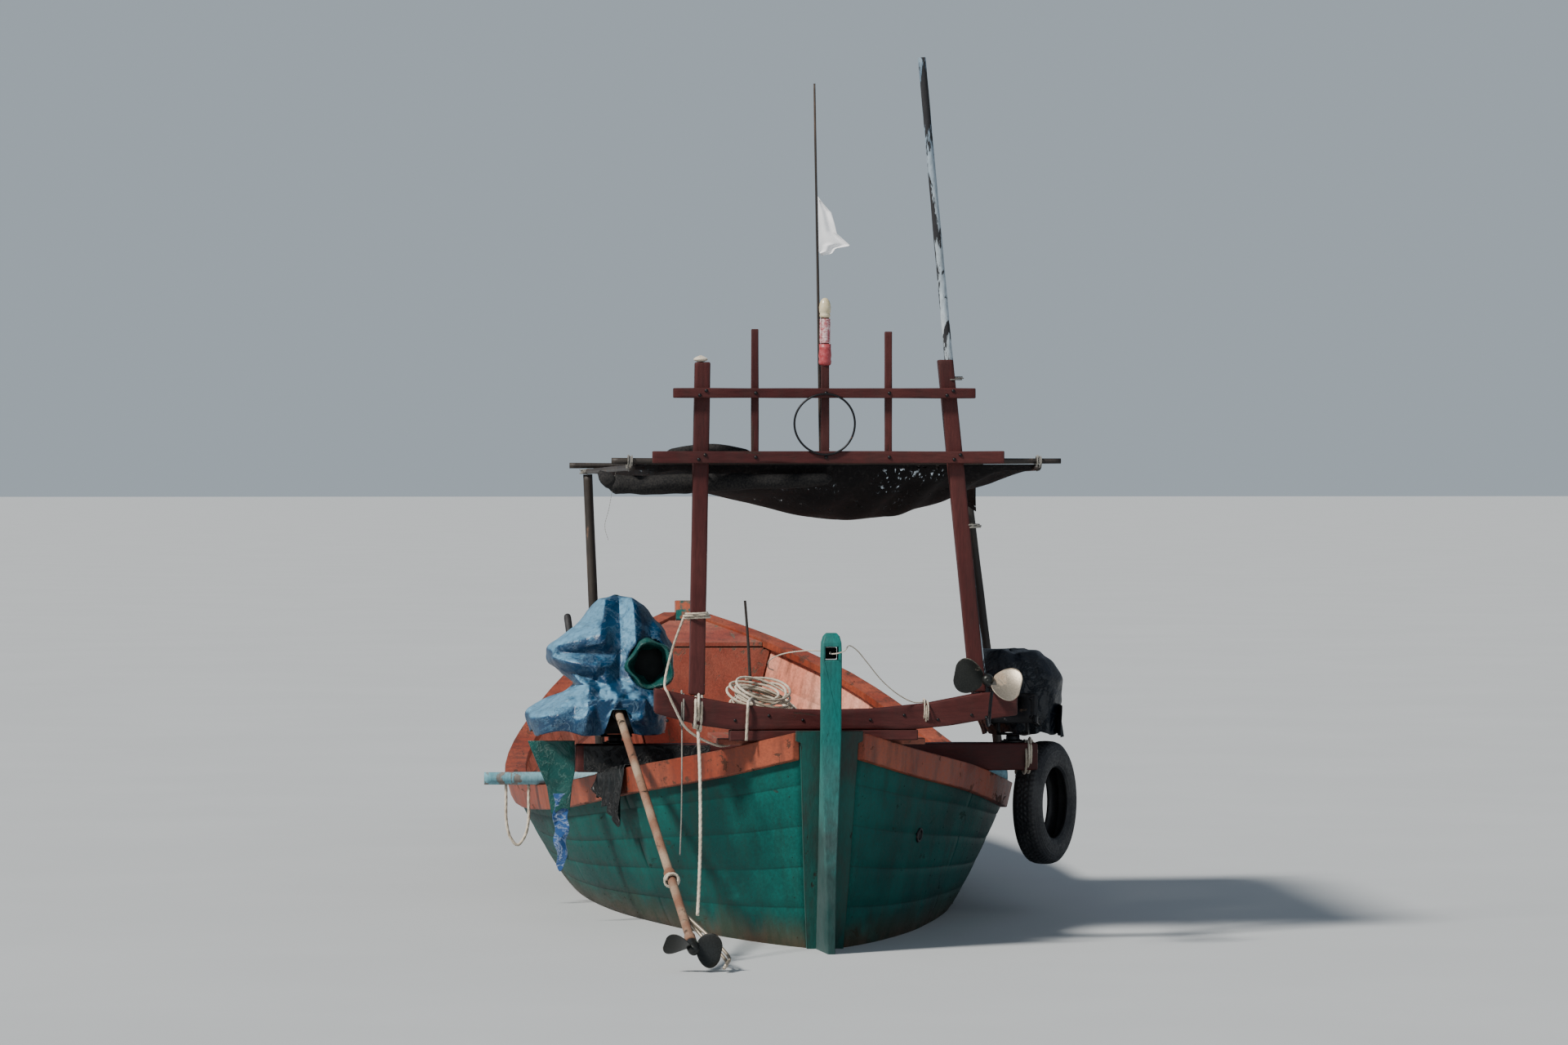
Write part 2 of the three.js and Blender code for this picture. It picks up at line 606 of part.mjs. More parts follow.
function makeGallows() {
  const postMid = POST_AFT + POST_SIZE / 2;
  for (const p of GALLOWS_POSTS) {
    const [foot, head] = [V(X(postMid), p.footY, p.footZ), V(X(postMid), p.topY, p.topZ)];
    add(p.name, squareBar(foot, head, POST_SIZE), "redwood");
  }
  for (const bar of CROSSBARS) {
    add(bar.name, box(X(BAR_FORE - BAR_THICK), X(BAR_FORE), bar.to, bar.from,
      bar.z - bar.height / 2, bar.z + bar.height / 2), "redwood");
  }
  const lower = CROSSBARS[0];
  for (const u of UPRIGHTS) {
    const aft = BAR_FORE + GAP;
    add(u.name, box(X(aft), X(aft + u.size), u.y - u.size / 2, u.y + u.size / 2,
      lower.z - lower.height / 2, u.top), "redwood");
  }
  const lampMid = X(BAR_FORE + GAP + UPRIGHTS[1].size / 2);
  const lamp = turnedBody([[0, 0], [20, 0], [27, 12], [27, 48], [18, 78], [0, 88]], 20);
  lamp.translate(lampMid, UPRIGHTS[1].y, UPRIGHTS[1].top + GAP);
  add("lamp", lamp, "lamp");

  const ring = new THREE.TorusGeometry(133, 5, 8, 40);
  ring.rotateY(Math.PI / 2);
  ring.translate(X(BAR_FORE - BAR_THICK - 5 - GAP), 0, 2298);
  add("hoop", bare(ring), "metal");

  const flagS = BAR_FORE + 2 * GAP + UPRIGHTS[1].size + STAFF.lowR;
  const staffEnd = ([y, z]) => V(X(flagS), y, z);
  add("flag_staff", rod(staffEnd(STAFF.low), staffEnd(STAFF.high), STAFF.lowR, 12, STAFF.highR), "darkwood");
  const hoist = (z) => {
    const f = (z - STAFF.low[1]) / (STAFF.high[1] - STAFF.low[1]);
    return lerp(STAFF.low[0], STAFF.high[0], f) - lerp(STAFF.lowR, STAFF.highR, f) - 2 * GAP;
  };
  const flagOutline = FLAG_EDGE.map(([y, z]) => [y + hoist(z), z]);
  add("flag", profileAlong(flagOutline, flagS - 1.5, flagS + 1.5), "flag");

  const poleX = X(POST_AFT + POST_SIZE + 22);
  add("long_pole", rod(V(poleX, -712, 1145), V(poleX, -441, 3915), 22, 16, 19), "peeling");
}

// Canopy: poles and posts that carry the shade net
const CANOPY = {
  foreS: 3400, portY: 872, starY: -1000, postR: 25, poleR: 16, sideR: 14, foreR: 15, poleZ: 2137,
};
const POST_TOP = 2075;
const SIDE_FROM = POST_AFT + POST_SIZE + 30;
const SIDE_TO = CANOPY.foreS + 60;
const CANOPY_FEET = { port: { y: 785, on: "floor" }, starboard: { y: -1185, on: "cap" } };
const NET_GRID = { along: 10, across: 12, thick: 14 };

// Centre of a side pole at s as [y, z], for the side whose canopy post stands at y
function sidePole(s, y) {
  const f = (s - SIDE_FROM) / (SIDE_TO - SIDE_FROM);
  const { poleZ, poleR, sideR } = CANOPY;
  return [lerp(y * 0.96, y, f), lerp(poleZ - poleR, POST_TOP + 2 * sideR, f) - sideR + lerp(-GAP, GAP, f)];
}

// How far the net hangs below its edges at a part of its length and of its width: it drops steeply behind its
// after edge, and most to starboard
function netSag(a, b) {
  const across = Math.sin(Math.PI * Math.min(1, Math.max(0, b))) ** 1.3;
  const along = Math.sin((Math.PI / 2) * Math.min(1, a / 0.25)) ** 0.8 * (1 - 0.3 * Math.max(0, 2 * a - 1));
  return 330 * across * (0.25 + 0.75 * b) * along;
}

function makeCanopy() {
  const { foreS, portY, starY, postR, poleR, sideR, foreR, poleZ } = CANOPY;
  const poleX = X(POST_AFT + POST_SIZE + 70);
  add("canopy_pole_aft", rod(V(poleX, 925, poleZ), V(poleX, -1066, poleZ), poleR, 12), "darkwood");
  for (const [side, y] of [["port", portY], ["starboard", starY]]) {
    const foot = CANOPY_FEET[side];
    const seat = foot.on === "cap" ? column("railZ", foreS) + 5 : FLOOR_TOP + 2;
    const head = V(X(foreS), y, POST_TOP);
    add(`canopy_post_${side}`, rod(V(X(foreS), foot.y, seat), head, postR, 12), "darkwood");
    const [aft, fore] = [SIDE_FROM, SIDE_TO].map((s) => V(X(s), ...sidePole(s, y)));
    add(`canopy_pole_${side}`, rod(aft, fore, sideR, 12), "darkwood");
  }
  const foreZ = sidePole(foreS, portY)[1] + sideR + foreR + GAP;
  const foreEnds = [V(X(foreS), portY + 90, foreZ), V(X(foreS), starY - 90, foreZ)];
  add("canopy_pole_fore", rod(...foreEnds, foreR, 12), "darkwood");

  const s0 = POST_AFT + POST_SIZE + 110;
  const s1 = foreS - 60;
  const rows = [];
  for (let i = 0; i <= NET_GRID.along; i++) {
    const a = (i / NET_GRID.along) ** 1.4;
    const s = lerp(s0, s1, a);
    const upper = [];
    const lower = [];
    for (let j = 0; j <= NET_GRID.across; j++) {
      const b = j / NET_GRID.across;
      const [port, star] = [sidePole(s, portY), sidePole(s, starY)];
      const y = lerp(port[0], star[0], b);
      const z = lerp(port[1], star[1], b) - sideR - GAP - netSag(a, b);
      upper.push(V(X(s), y, z));
      lower.push(V(X(s), y, z - NET_GRID.thick));
    }
    rows.push([...upper, ...lower.reverse()]);
  }
  add("canopy_net", loftStrip(rows, NET_GRID.across + 1), "net");
}

// Engine beam and the things that lie or hang on the hull
function makeBeam() {
  const half = BEAM.size / 2;
  const low = column("railZ", BEAM.s - half) + GAP;
  const high = low + BEAM.size;
  const bar = box(X(BEAM.s - half), X(BEAM.s + half), BEAM.starEnd, BEAM.portEnd, low, high);
  add("engine_beam", bar, "redwood");
  return high;
}

const TYRE = { s: 2005, y: -1212, z: 527, outer: 293, inner: 168, half: 66, turn: 29 };
const SIDE_POLE = { s: 2750, r: 31, outY: 1405, inY: -1128 };

function makeFenders() {
  const { outer, inner, half } = TYRE;
  const profile = [
    [inner, -half * 0.72], [inner + 28, -half], [outer - 42, -half], [outer - 8, -half * 0.62], [outer, 0],
    [outer - 8, half * 0.62], [outer - 42, half], [inner + 28, half], [inner, half * 0.72],
    [inner + 14, half * 0.5], [outer - 34, half * 0.5], [outer - 34, -half * 0.5], [inner + 14, -half * 0.5],
    [inner, -half * 0.72],
  ];
  const tyre = turnedBody(profile, 36);
  tyre.rotateX(Math.PI / 2);
  tyre.rotateZ(rad(-TYRE.turn));
  tyre.translate(X(TYRE.s), TYRE.y, TYRE.z);
  add("tyre", tyre, "tyre");

  const beamEnd = V(X(BEAM.s + BEAM.size / 2) + 7, BEAM.starEnd + 30, column("railZ", BEAM.s) + 75);
  const angle = rad(138);
  const out = TYRE.outer + 0.6;
  const grip = V(
    X(TYRE.s) + out * Math.cos(angle) * Math.cos(rad(TYRE.turn)),
    TYRE.y - out * Math.cos(angle) * Math.sin(rad(TYRE.turn)),
    TYRE.z + out * Math.sin(angle),
  );
  add("tyre_lashing", rod(beamEnd, grip, 9, 10), "rope");

  const { s, r, outY, inY } = SIDE_POLE;
  const z = column("railZ", s - r / 2) + r + 2 * GAP;
  add("side_pole", rod(V(X(s), outY, z), V(X(s), inY, z), r, 20), "pole");

  const top = z - r - GAP;
  const loop = POLE_LOOP.line.map(([y, drop]) => V(X(s), y, top - drop));
  add("pole_loop", tube(loop, POLE_LOOP.r, 40), "rope");
}

// Hanging loop under the side pole as [y, drop below the pole]
const POLE_LOOP = {
  r: 8,
  line: [[1300, 0.3], [1300, 70], [1299, 170], [1281, 250], [1246, 290], [1211, 250], [1192, 170],
    [1191, 70], [1191, 0.3]],
};

// Rope heap on the stern deck, and its end that hangs over the yoke as [s, y, z]
const ROPE_HEAP = { s: 690, y: 230, inner: 60, outer: 205, height: 280 };
const ROPE_END = {
  r: 7,
  line: [[490, 287, 1045], [466, 291, 1062], [430, 300, 1080], [380, 312, 1090], [340, 320, 1088],
    [305, 328, 1082], [270, 333, 1080], [249, 336, 1070], [243, 338, 1045], [243, 340, 1005],
    [243, 342, 960], [243, 344, 912]],
};

function makeRopes() {
  const low = capTop(STERN_DECK.from) + STERN_DECK.thick + 2 * GAP;
  const { s, y, inner, outer, height } = ROPE_HEAP;
  const profile = [[inner + 15, low], [outer - 20, low], [outer, low + 40], [outer, low + height * 0.6],
    [outer - 30, low + height * 0.9], [(inner + outer) / 2, low + height], [inner + 25, low + height * 0.9],
    [inner, low + height * 0.6], [inner, low + 40], [inner + 15, low]];
  const heap = turnedBody(profile, 28);
  heap.translate(X(s), y, 0);
  add("rope_coil", heap, "rope");
  add("rope_end", tube(ROPE_END.line.map(([a, b, c]) => V(X(a), b, c)), ROPE_END.r, 36), "rope");
}

// Tarpaulin hanging from the beam's port end, as [y, z] in a plane across the boat
const SKIRT = {
  s: 1700,
  thick: 6,
  outline: [[1020, 815], [1060, 840], [1235, 835], [1150, 640], [1120, 450], [1100, 268], [1062, 262],
    [1050, 450], [1040, 640], [1020, 700]],
};

function makeSkirt() {
  const outline = SKIRT.outline.map(([y, z]) => [y + GAP, z]);
  add("hanging_tarp", profileAlong(outline, SKIRT.s, SKIRT.s + SKIRT.thick), "tarpGreen");
}

// One longtail engine: base on the beam, swivel, frame, engine, tail tube, cover and propeller
function makeEngine(spec, beamTop) {
  const { side, y, yaw, pitch, tail, tubeR, engine } = spec;
  const name = (piece) => `${side}_${piece}`;
  const pivot = V(X(BEAM.s), y, TRUNNION_Z);

  const base = new THREE.Group();
  base.position.set(pivot.x, pivot.y, 0);
  boat.add(base);
  const collar = [[16.8, 8], [16.8, 32], [32, 32], [32, 8], [60, 8], [60, GAP], [16.8, GAP], [16.8, 8]];
  const seat = turnedBody(collar, 24);
  seat.translate(0, 0, beamTop);
  add(name("pivot_base"), seat, "metal", base);

  const turned = new THREE.Group();
  turned.position.copy(pivot);
  turned.rotation.set(0, 0, rad(yaw), "ZYX");
  boat.add(turned);
  const plateLow = beamTop + 33 - TRUNNION_Z;
  const plate = box(-50, 50, -75, 75, plateLow, plateLow + 10);
  const pin = rod(V(0, 0, beamTop + 2 - TRUNNION_Z), V(0, 0, plateLow + 5), 16, 24);
  const ears = [-1, 1].map((hand) => {
    const [near, far] = hand > 0 ? [60, 75] : [-75, -60];
    return join(box(-25, 25, near, far, plateLow + 2, 0), rod(V(0, near, 0), V(0, far, 0), 25, 24));
  });
  const bore = rod(V(0, -90, 0), V(0, 90, 0), BORE_R, 24);
  add(name("swivel"), cut(join(plate, pin, ...ears), bore), "metal", turned);

  const tilted = new THREE.Group();
  tilted.rotation.set(0, -rad(pitch), 0);
  turned.add(tilted);
  const tube = rod(V(-tail + 60, 0, SHAFT_UP), V(engine.from - GAP, 0, SHAFT_UP), tubeR, 20);
  const rails = [-1, 1].map((hand) => box(-120, engine.to, Math.min(hand * 97, hand * 122),
    Math.max(hand * 97, hand * 122), -20, 20));
  const bars = [engine.from + 60, engine.to - 60].map((u) => box(u - 15, u + 15, -110, 110, -20, 8));
  const bracket = box(-112, -84, -122, 122, -20, SHAFT_UP + 34);
  const trunnion = rod(V(0, -128, 0), V(0, 128, 0), SHAFT_R, 24);
  const bend = V(engine.to + 85, 110, 0);
  const handle = rod(V(engine.to - 10, 110, 0), bend, 14, 14);
  const grip = rod(bend.clone().add(V(-6, 0, -6)), V(1060, 110, spec.gripRise), 14, 14);
  const clearTube = rod(V(-300, 0, SHAFT_UP), V(300, 0, SHAFT_UP), tubeR + GAP, 20);
  const frame = join(...rails, ...bars, bracket, trunnion, handle, grip);
  add(name("engine_frame"), cut(frame, clearTube), "metal", tilted);
  const block = box(engine.from, engine.to, -engine.half, engine.half, 20 + GAP, engine.top);
  add(name("engine"), block, "engine", tilted);

  const collarAt = tail * 0.72;
  const ring = rod(V(-collarAt - 14, 0, SHAFT_UP), V(-collarAt + 14, 0, SHAFT_UP), tubeR + 7, 20);
  const skegLow = SHAFT_UP - spec.blade - 45;
  const skegA = rod(V(-tail + 330, 0, SHAFT_UP - 6), V(-tail + 40, 0, skegLow), 9, 10);
  const skegB = rod(V(-tail + 44, 0, skegLow + 4), V(-tail - 70, 0, skegLow + 30), 9, 10);
  for (const bar of [skegA, skegB]) {
    bar.translate(0, 0, -SHAFT_UP);
    bar.rotateX(rad(spec.skegRoll));
    bar.translate(0, 0, SHAFT_UP);
  }
  const shaft = rod(V(-tail - 34, 0, SHAFT_UP), V(-tail + 70, 0, SHAFT_UP), SHAFT_R, 24);
  add(name("tail_tube"), join(tube, ring, shaft, skegA, skegB), "rust", tilted);

  const hub = rod(V(-tail - 42, 0, SHAFT_UP), V(-tail + 46, 0, SHAFT_UP), 24, 20, 27);
  const blades = [90, -90].map((turn) => {
    const geometry = propellerBlade(spec.blade);
    geometry.rotateX(rad(turn + 12));
    geometry.translate(-tail, 0, SHAFT_UP);
    return geometry;
  });
  const hubBore = rod(V(-tail - 36, 0, SHAFT_UP), V(-tail + 60, 0, SHAFT_UP), BORE_R, 24);
  add(name("propeller"), cut(join(hub, ...blades), hubBore), "bladeDark", tilted);

  makeCover(spec, tilted, name("cover"));
}

// One blade standing up from the hub: flat loops turned less towards the tip
function propellerBlade(radius) {
  const loops = [0.14, 0.35, 0.6, 0.82, 0.97].map((f) => {
    const chord = radius * 0.6 * Math.sin(Math.PI * (0.08 + 0.82 * f));
    const thick = lerp(8, 4, f) / 2;
    const twist = rad(lerp(35, 70, f));
    const corners = [[-chord, 0], [-chord * 0.5, -thick], [chord * 0.5, -thick], [chord, 0],
      [chord * 0.5, thick], [-chord * 0.5, thick]];
    const [c, s] = [Math.cos(twist), Math.sin(twist)];
    return corners.map(([a, b]) => V(a * c - b * s, a * s + b * c, radius * f));
  });
  return loft(loops);
}

// Cover over an engine: a rounded lump, open below, around the engine's block
function makeCover(spec, parent, name) {
  const { from, to, half, top } = spec.engine;
  const wide = spec.side === "port" ? 70 : 26;
  const levels = [[spec.coverLow, 1], [top - 60, 1], [top + 14, 0.96], [top + 36, 0.7]];
  const outline = (z, k) => {
    const mid = (from + to) / 2;
    const [hx, hy] = [((to - from) / 2 + wide * 0.6) * k, (half + wide) * k];
    return Array.from({ length: 16 }, (_, i) => {
      const a = (i / 16) * Math.PI * 2;
      const [c, s] = [Math.cos(a), Math.sin(a)];
      const grow = 1 / Math.max(Math.abs(c), Math.abs(s)) ** 0.97;
      return V(mid + hx * c * grow, hy * s * grow, z);
    });
  };
  const lump = loft(levels.map(([z, k]) => outline(z, k)));
  const room = box(from - 8, to + 8, -half - 8, half + 8, -90, top + GAP);
  const shaftWay = box(-200, from, -132, 132, -90, SHAFT_UP + 30);
  const handleWay = box(to, to + 120, 85, 135, -90, 30);
  add(name, cut(lump, room, shaftWay, handleWay), spec.side === "port" ? "tarp" : "cover", parent);
}

makeBackbone();
makeTransom();
makeSternPost();
makeHullSides();
makeInside();
makeYoke();
makeGallows();
makeCanopy();
const beamTop = makeBeam();
makeFenders();
makeRopes();
makeSkirt();
for (const spec of ENGINES) {
  makeEngine(spec, beamTop);
}

export default boat;
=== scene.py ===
"""Longtail boat: the looks of an open wooden boat with two covered longtail engines.

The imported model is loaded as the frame. Metres, +X to the bow, +Y to port, +Z up, the origin amidships on
the centreline at the waterline. A place along the boat is given as s, the distance forward of the stern
post's face.
"""

import math

import bpy
import numpy as np
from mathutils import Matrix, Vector


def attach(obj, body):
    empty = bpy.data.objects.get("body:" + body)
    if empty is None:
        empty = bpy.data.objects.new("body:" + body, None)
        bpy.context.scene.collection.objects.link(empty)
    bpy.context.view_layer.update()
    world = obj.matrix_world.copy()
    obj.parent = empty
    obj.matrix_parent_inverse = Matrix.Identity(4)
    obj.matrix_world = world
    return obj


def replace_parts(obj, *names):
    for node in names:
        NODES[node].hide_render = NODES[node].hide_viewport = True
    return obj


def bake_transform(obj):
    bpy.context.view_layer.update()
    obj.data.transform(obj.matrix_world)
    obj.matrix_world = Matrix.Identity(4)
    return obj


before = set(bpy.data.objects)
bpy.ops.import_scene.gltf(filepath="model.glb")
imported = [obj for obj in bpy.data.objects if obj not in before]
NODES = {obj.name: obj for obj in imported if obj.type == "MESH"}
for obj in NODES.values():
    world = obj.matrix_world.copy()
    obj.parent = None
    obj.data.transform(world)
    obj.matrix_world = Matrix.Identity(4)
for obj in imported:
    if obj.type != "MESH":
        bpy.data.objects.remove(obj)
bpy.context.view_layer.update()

bl_info = {
    "name": "Longtail boat",
    "version": (1, 0, 0),
    "blender": (4, 5, 0),
    "location": "3D View > Sidebar > Boat",
    "description": "Builds the looks of an open wooden longtail boat around its packed frame",
    "category": "Object",
}

SIDES = (("port", np.array([1.0, 1.0, 1.0])), ("starboard", np.array([1.0, -1.0, 1.0])))
HALF_LENGTH = 4.5
PLANK = 0.035
KEEL_SIDE = 0.0453
CAP_HEIGHT = 0.0453

# Hull stations: keel line, turn of the bilge and top of the rail cap, written in millimetres
COLUMNS = ("s", "keel_z", "turn_half", "turn_z", "rail_half", "rail_z")
HULL = np.array([
    [50, -150, 80, 0, 125, 955],
    [500, -240, 250, 0, 400, 862],
    [1300, -320, 540, 0, 765, 745],
    [2500, -365, 815, 0, 1090, 598],
    [4000, -380, 915, 0, 1215, 545],
    [5200, -365, 850, 0, 1160, 630],
    [6200, -325, 690, 0, 985, 800],
    [7000, -255, 490, 20, 800, 945],
    [7700, -150, 310, 60, 605, 1050],
    [8200, -10, 190, 180, 445, 1125],
    [8700, 330, 110, 560, 245, 1200],
    [9060, 850, 56, 895, 95, 1250],
]) / 1000.0
RIBS = np.array([1.1, 1.9, 2.35, 3.15, 3.9, 4.35, 5.1, 5.7, 6.4, 7.1])
BILGE_ANGLES = np.radians([0, 30, 60, 90])
SIDE_PARTS = np.array([0.3, 0.55, 0.68, 0.85, 1.0])

X_AXIS, Y_AXIS, Z_AXIS = np.eye(3)


# ---------------------------------------------------------------- numbers and paths


def column(name, s):
    """One hull column at the stations s: a cubic through the rows, with the slope between a row's
    neighbours at each row."""
    x, y = HULL[:, 0], HULL[:, COLUMNS.index(name)]
    s = np.asarray(s, float)
    k = np.arange(len(x))
    low, high = np.maximum(k - 1, 0), np.minimum(k + 1, len(x) - 1)
    slope = (y[high] - y[low]) / (x[high] - x[low])
    i = np.clip(np.searchsorted(x, s, side="left"), 1, len(x) - 1)
    h = x[i] - x[i - 1]
    t = (s - x[i - 1]) / h
    start = (2 * t**3 - 3 * t**2 + 1) * y[i - 1] + (t**3 - 2 * t**2 + t) * h * slope[i - 1]
    return start + (3 * t**2 - 2 * t**3) * y[i] + (t**3 - t**2) * h * slope[i]


def flare(f):
    """How far the side has gone outwards at the part f of its height: bowed low down, straight above."""
    return np.where(f < 0.55, f**0.85, 0.55**0.85 + (1 - 0.55**0.85) * (f - 0.55) / 0.45)


def section(s, depth):
    """Half sections at the stations s as an array (station, point, y z), from the keel to the rail.

    The bilge is a quarter ellipse down to the keel, the side flares from it, bowed low down and straight
    above, and every point is moved square to the line through its neighbours by the depth.
    """
    s = np.asarray(s, float)[:, None]
    keel, turn_half, turn_z = column("keel_z", s), column("turn_half", s), column("turn_z", s)
    rail_half, rail_z = column("rail_half", s), column("rail_z", s) - CAP_HEIGHT
    y = np.hstack([KEEL_SIDE + (turn_half - KEEL_SIDE) * np.sin(BILGE_ANGLES),
                   turn_half + (rail_half - turn_half) * flare(SIDE_PARTS)])
    z = np.hstack([turn_z - (turn_z - keel) * np.cos(BILGE_ANGLES), turn_z + (rail_z - turn_z) * SIDE_PARTS])
    last = y.shape[1] - 1
    before, after = np.maximum(np.arange(last) - 1, 0), np.arange(last) + 1
    dy, dz = y[:, after] - y[:, before], z[:, after] - z[:, before]
    length = np.hypot(dy, dz)
    rise = depth * dy / length
    rise[:, 0] = depth * 1.15
    inner_y = np.maximum(KEEL_SIDE, y[:, :last] - depth * dz / length)
    inner_y[:, 0] = KEEL_SIDE
    inner_z = np.maximum.accumulate(z[:, :last] + rise, axis=1)
    ends = np.stack([np.maximum(KEEL_SIDE, y[:, last] - depth), z[:, last]], axis=1)[:, None]
    return np.concatenate([np.stack([inner_y, inner_z], axis=2), ends], axis=1)


def rake(z, s):
    """How far the after ends of the planks are moved forward at a height."""
    fade = np.maximum(0, 1 - s / 0.9) ** 2 / (1 - 0.05 / 0.9) ** 2
    return 0.21 * (1 - z / 0.955) * fade


def fore(s):
    """The boat's x at the distance s forward of the stern post's face."""
    return s - HALF_LENGTH


def down(count):
    """A parameter from 0 to 1 that runs over the rows of a grid."""
    return np.linspace(0, 1, count)[:, None]


def across(count):
    """A parameter from 0 to 1 that runs over the columns of a grid."""
    return np.linspace(0, 1, count)[None, :]


def round_turn(count):
    """Even angles once round."""
    return np.arange(count) / count * 2 * np.pi


def surface(x, y, z):
    """A grid or row of points from three coordinates, which are stretched to the same shape."""
    return np.stack(np.broadcast_arrays(x, y, z), axis=-1)


def turned(a, b, angle):
    """Two coordinates turned by an angle from the first towards the second."""
    c, s = np.cos(angle), np.sin(angle)
    return a * c - b * s, a * s + b * c


def aboard(rows):
    """Points of the boat from rows of s, y and z."""
    return [(fore(s), y, z) for s, y, z in rows]


def running(points):
    """Length run along a path up to each of its points."""
    return np.concatenate([[0], np.cumsum(np.linalg.norm(np.diff(points, axis=0), axis=1))])


def smoothed(values, kernel):
    """Values evened out by a running mean with the kernel's weights, their ends held."""
    return np.convolve(np.pad(values, len(kernel) // 2, mode="edge"), kernel, mode="valid")


def direction(rng):
    """A unit vector that points anywhere."""
    a = rng.normal(size=3)
    return a / np.linalg.norm(a)


def smooth_path(points, step):
    """Points about a step apart on a smooth curve through the given ones, whose slope at each is that
    between its neighbours."""
    p = np.asarray(points, float)
    chord = np.linalg.norm(np.diff(p, axis=0), axis=1)
    t = np.concatenate([[0], np.cumsum(np.sqrt(chord))])
    slope = np.gradient(p, t, axis=0)
    count = max(2, int(np.ceil(chord.sum() * 6 / step)))
    u = np.linspace(0, t[-1], count)
    i = np.clip(np.searchsorted(t, u, side="right") - 1, 0, len(t) - 2)
    h = (t[i + 1] - t[i])[:, None]
    f = ((u - t[i]) / (t[i + 1] - t[i]))[:, None]
    fine = (2 * f**3 - 3 * f**2 + 1) * p[i] + (f**3 - 2 * f**2 + f) * h * slope[i]
    fine += (3 * f**2 - 2 * f**3) * p[i + 1] + (f**3 - f**2) * h * slope[i + 1]
    along = running(fine)
    even = np.linspace(0, along[-1], max(2, int(round(along[-1] / step)) + 1))
    return np.stack([np.interp(even, along, fine[:, k]) for k in range(3)], axis=1)


def crumple(p, scale, seed, count=7, sharp=1.0):
    """Creases over points p: a mean of folded waves in seeded directions, each bent by a slower wave, from 0
    to 1."""
    rng = np.random.default_rng(seed)
    total = np.zeros(p.shape[:-1])
    for k in range(count):
        a, b = direction(rng), direction(rng)
        grow = scale * 1.35**k
        bend = 1.4 * np.sin(p @ b * grow * 0.6 + rng.uniform(0, 6.3))
        total += (1 - np.abs(np.sin(p @ a * grow + bend + rng.uniform(0, 6.3)))) ** sharp / 1.35**k
    return total / sum(1 / 1.35**k for k in range(count))


def facets(p, scale, seed, count=4):
    """Flat faces with sharp ridges and valleys over points p: a sum of triangle waves, about -1 to 1."""
    rng = np.random.default_rng(seed)
    total = np.zeros(p.shape[:-1])
    for k in range(count):
        a, b = direction(rng), direction(rng)
        grow = scale * 1.6**k
        bend = 1.1 * np.arcsin(np.sin(p @ b * grow * 0.45 + rng.uniform(0, 6.3)))
        total += np.arcsin(np.sin(p @ a * grow + bend + rng.uniform(0, 6.3))) / 1.45**k
    return total / 2.2


def waves(p, scale, seed, count=5):
    """Slow unevenness over points p: a mean of sine waves in seeded directions, from -1 to 1."""
    rng = np.random.default_rng(seed)
    total = np.zeros(p.shape[:-1])
    for _ in range(count):
        total += np.sin(p @ direction(rng) * scale * rng.uniform(0.6, 1.6) + rng.uniform(0, 6.3))
    return total / count


# ---------------------------------------------------------------- meshes


def signed_volume(points, faces):
    """Six times the volume that the faces close in, negative when they point inwards."""
    total = 0.0
    for size in {len(f) for f in faces}:
        f = np.array([x for x in faces if len(x) == size])
        for k in range(1, size - 1):
            a, b, c = points[f[:, 0]], points[f[:, k]], points[f[:, k + 1]]
            total += np.einsum("ij,ij->i", a, np.cross(b, c)).sum()
    return total


def make_object(name, points, faces, material, body="hull", smooth=True, marks=None):
    """A mesh object from points and faces in the material of that name, turned outwards and riding on a
    body, with any float marks stored on its points."""
    points = np.asarray(points, float).reshape(-1, 3)
    if signed_volume(points, faces) < 0:
        faces = [f[::-1] for f in faces]
    mesh = bpy.data.meshes.new(name)
    mesh.from_pydata(points.tolist(), [], [list(map(int, f)) for f in faces])
    mesh.validate()
    for mark, values in (marks or {}).items():
        attribute = mesh.attributes.new(mark, "FLOAT", "POINT")
        attribute.data.foreach_set("value", np.asarray(values, np.float32).ravel())
    mesh.polygons.foreach_set("use_smooth", np.full(len(mesh.polygons), smooth))
    mesh.materials.append(MATERIALS[material])
    obj = bpy.data.objects.new(name, mesh)
    bpy.context.scene.collection.objects.link(obj)
    if body is not None:
        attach(obj, body)
    return obj


def grid_faces(rows, columns, wrap=False):
    """Quads of a grid of points, row by row; with wrap the last column joins the first."""
    i = np.arange(rows - 1)[:, None]
    j = np.arange(columns if wrap else columns - 1)[None, :]
    k = (j + 1) % columns
    this, after = i * columns, (i + 1) * columns
    return np.stack([this + j, this + k, after + k, after + j], axis=-1).reshape(-1, 4).tolist()


def tube_faces(rows, sides, ring=False):
    """Faces of a tube of points, row by row: closed by a cap at each end, or with ring by joining the last
    row to the first."""
    faces = grid_faces(rows, sides, wrap=True)
    last = (rows - 1) * sides
    if ring:
        j = np.arange(sides)
        return faces + np.stack([last + j, last + (j + 1) % sides, (j + 1) % sides, j], axis=1).tolist()
    return faces + [list(range(sides))[::-1], list(range(last, last + sides))]


def frames_along(path):
    """Two unit vectors square to the path at each point, carried along it without twist."""
    tangent = np.gradient(path, axis=0)
    tangent /= np.linalg.norm(tangent, axis=1)[:, None]
    start = np.array([0, 0, 1.0]) if abs(tangent[0, 2]) < 0.9 else np.array([1.0, 0, 0])
    side = np.empty_like(path)
    current = start
    for i, t in enumerate(tangent):
        current = current - t * (current @ t)
        current = current / np.linalg.norm(current)
        side[i] = current
    return side, np.cross(tangent, side)


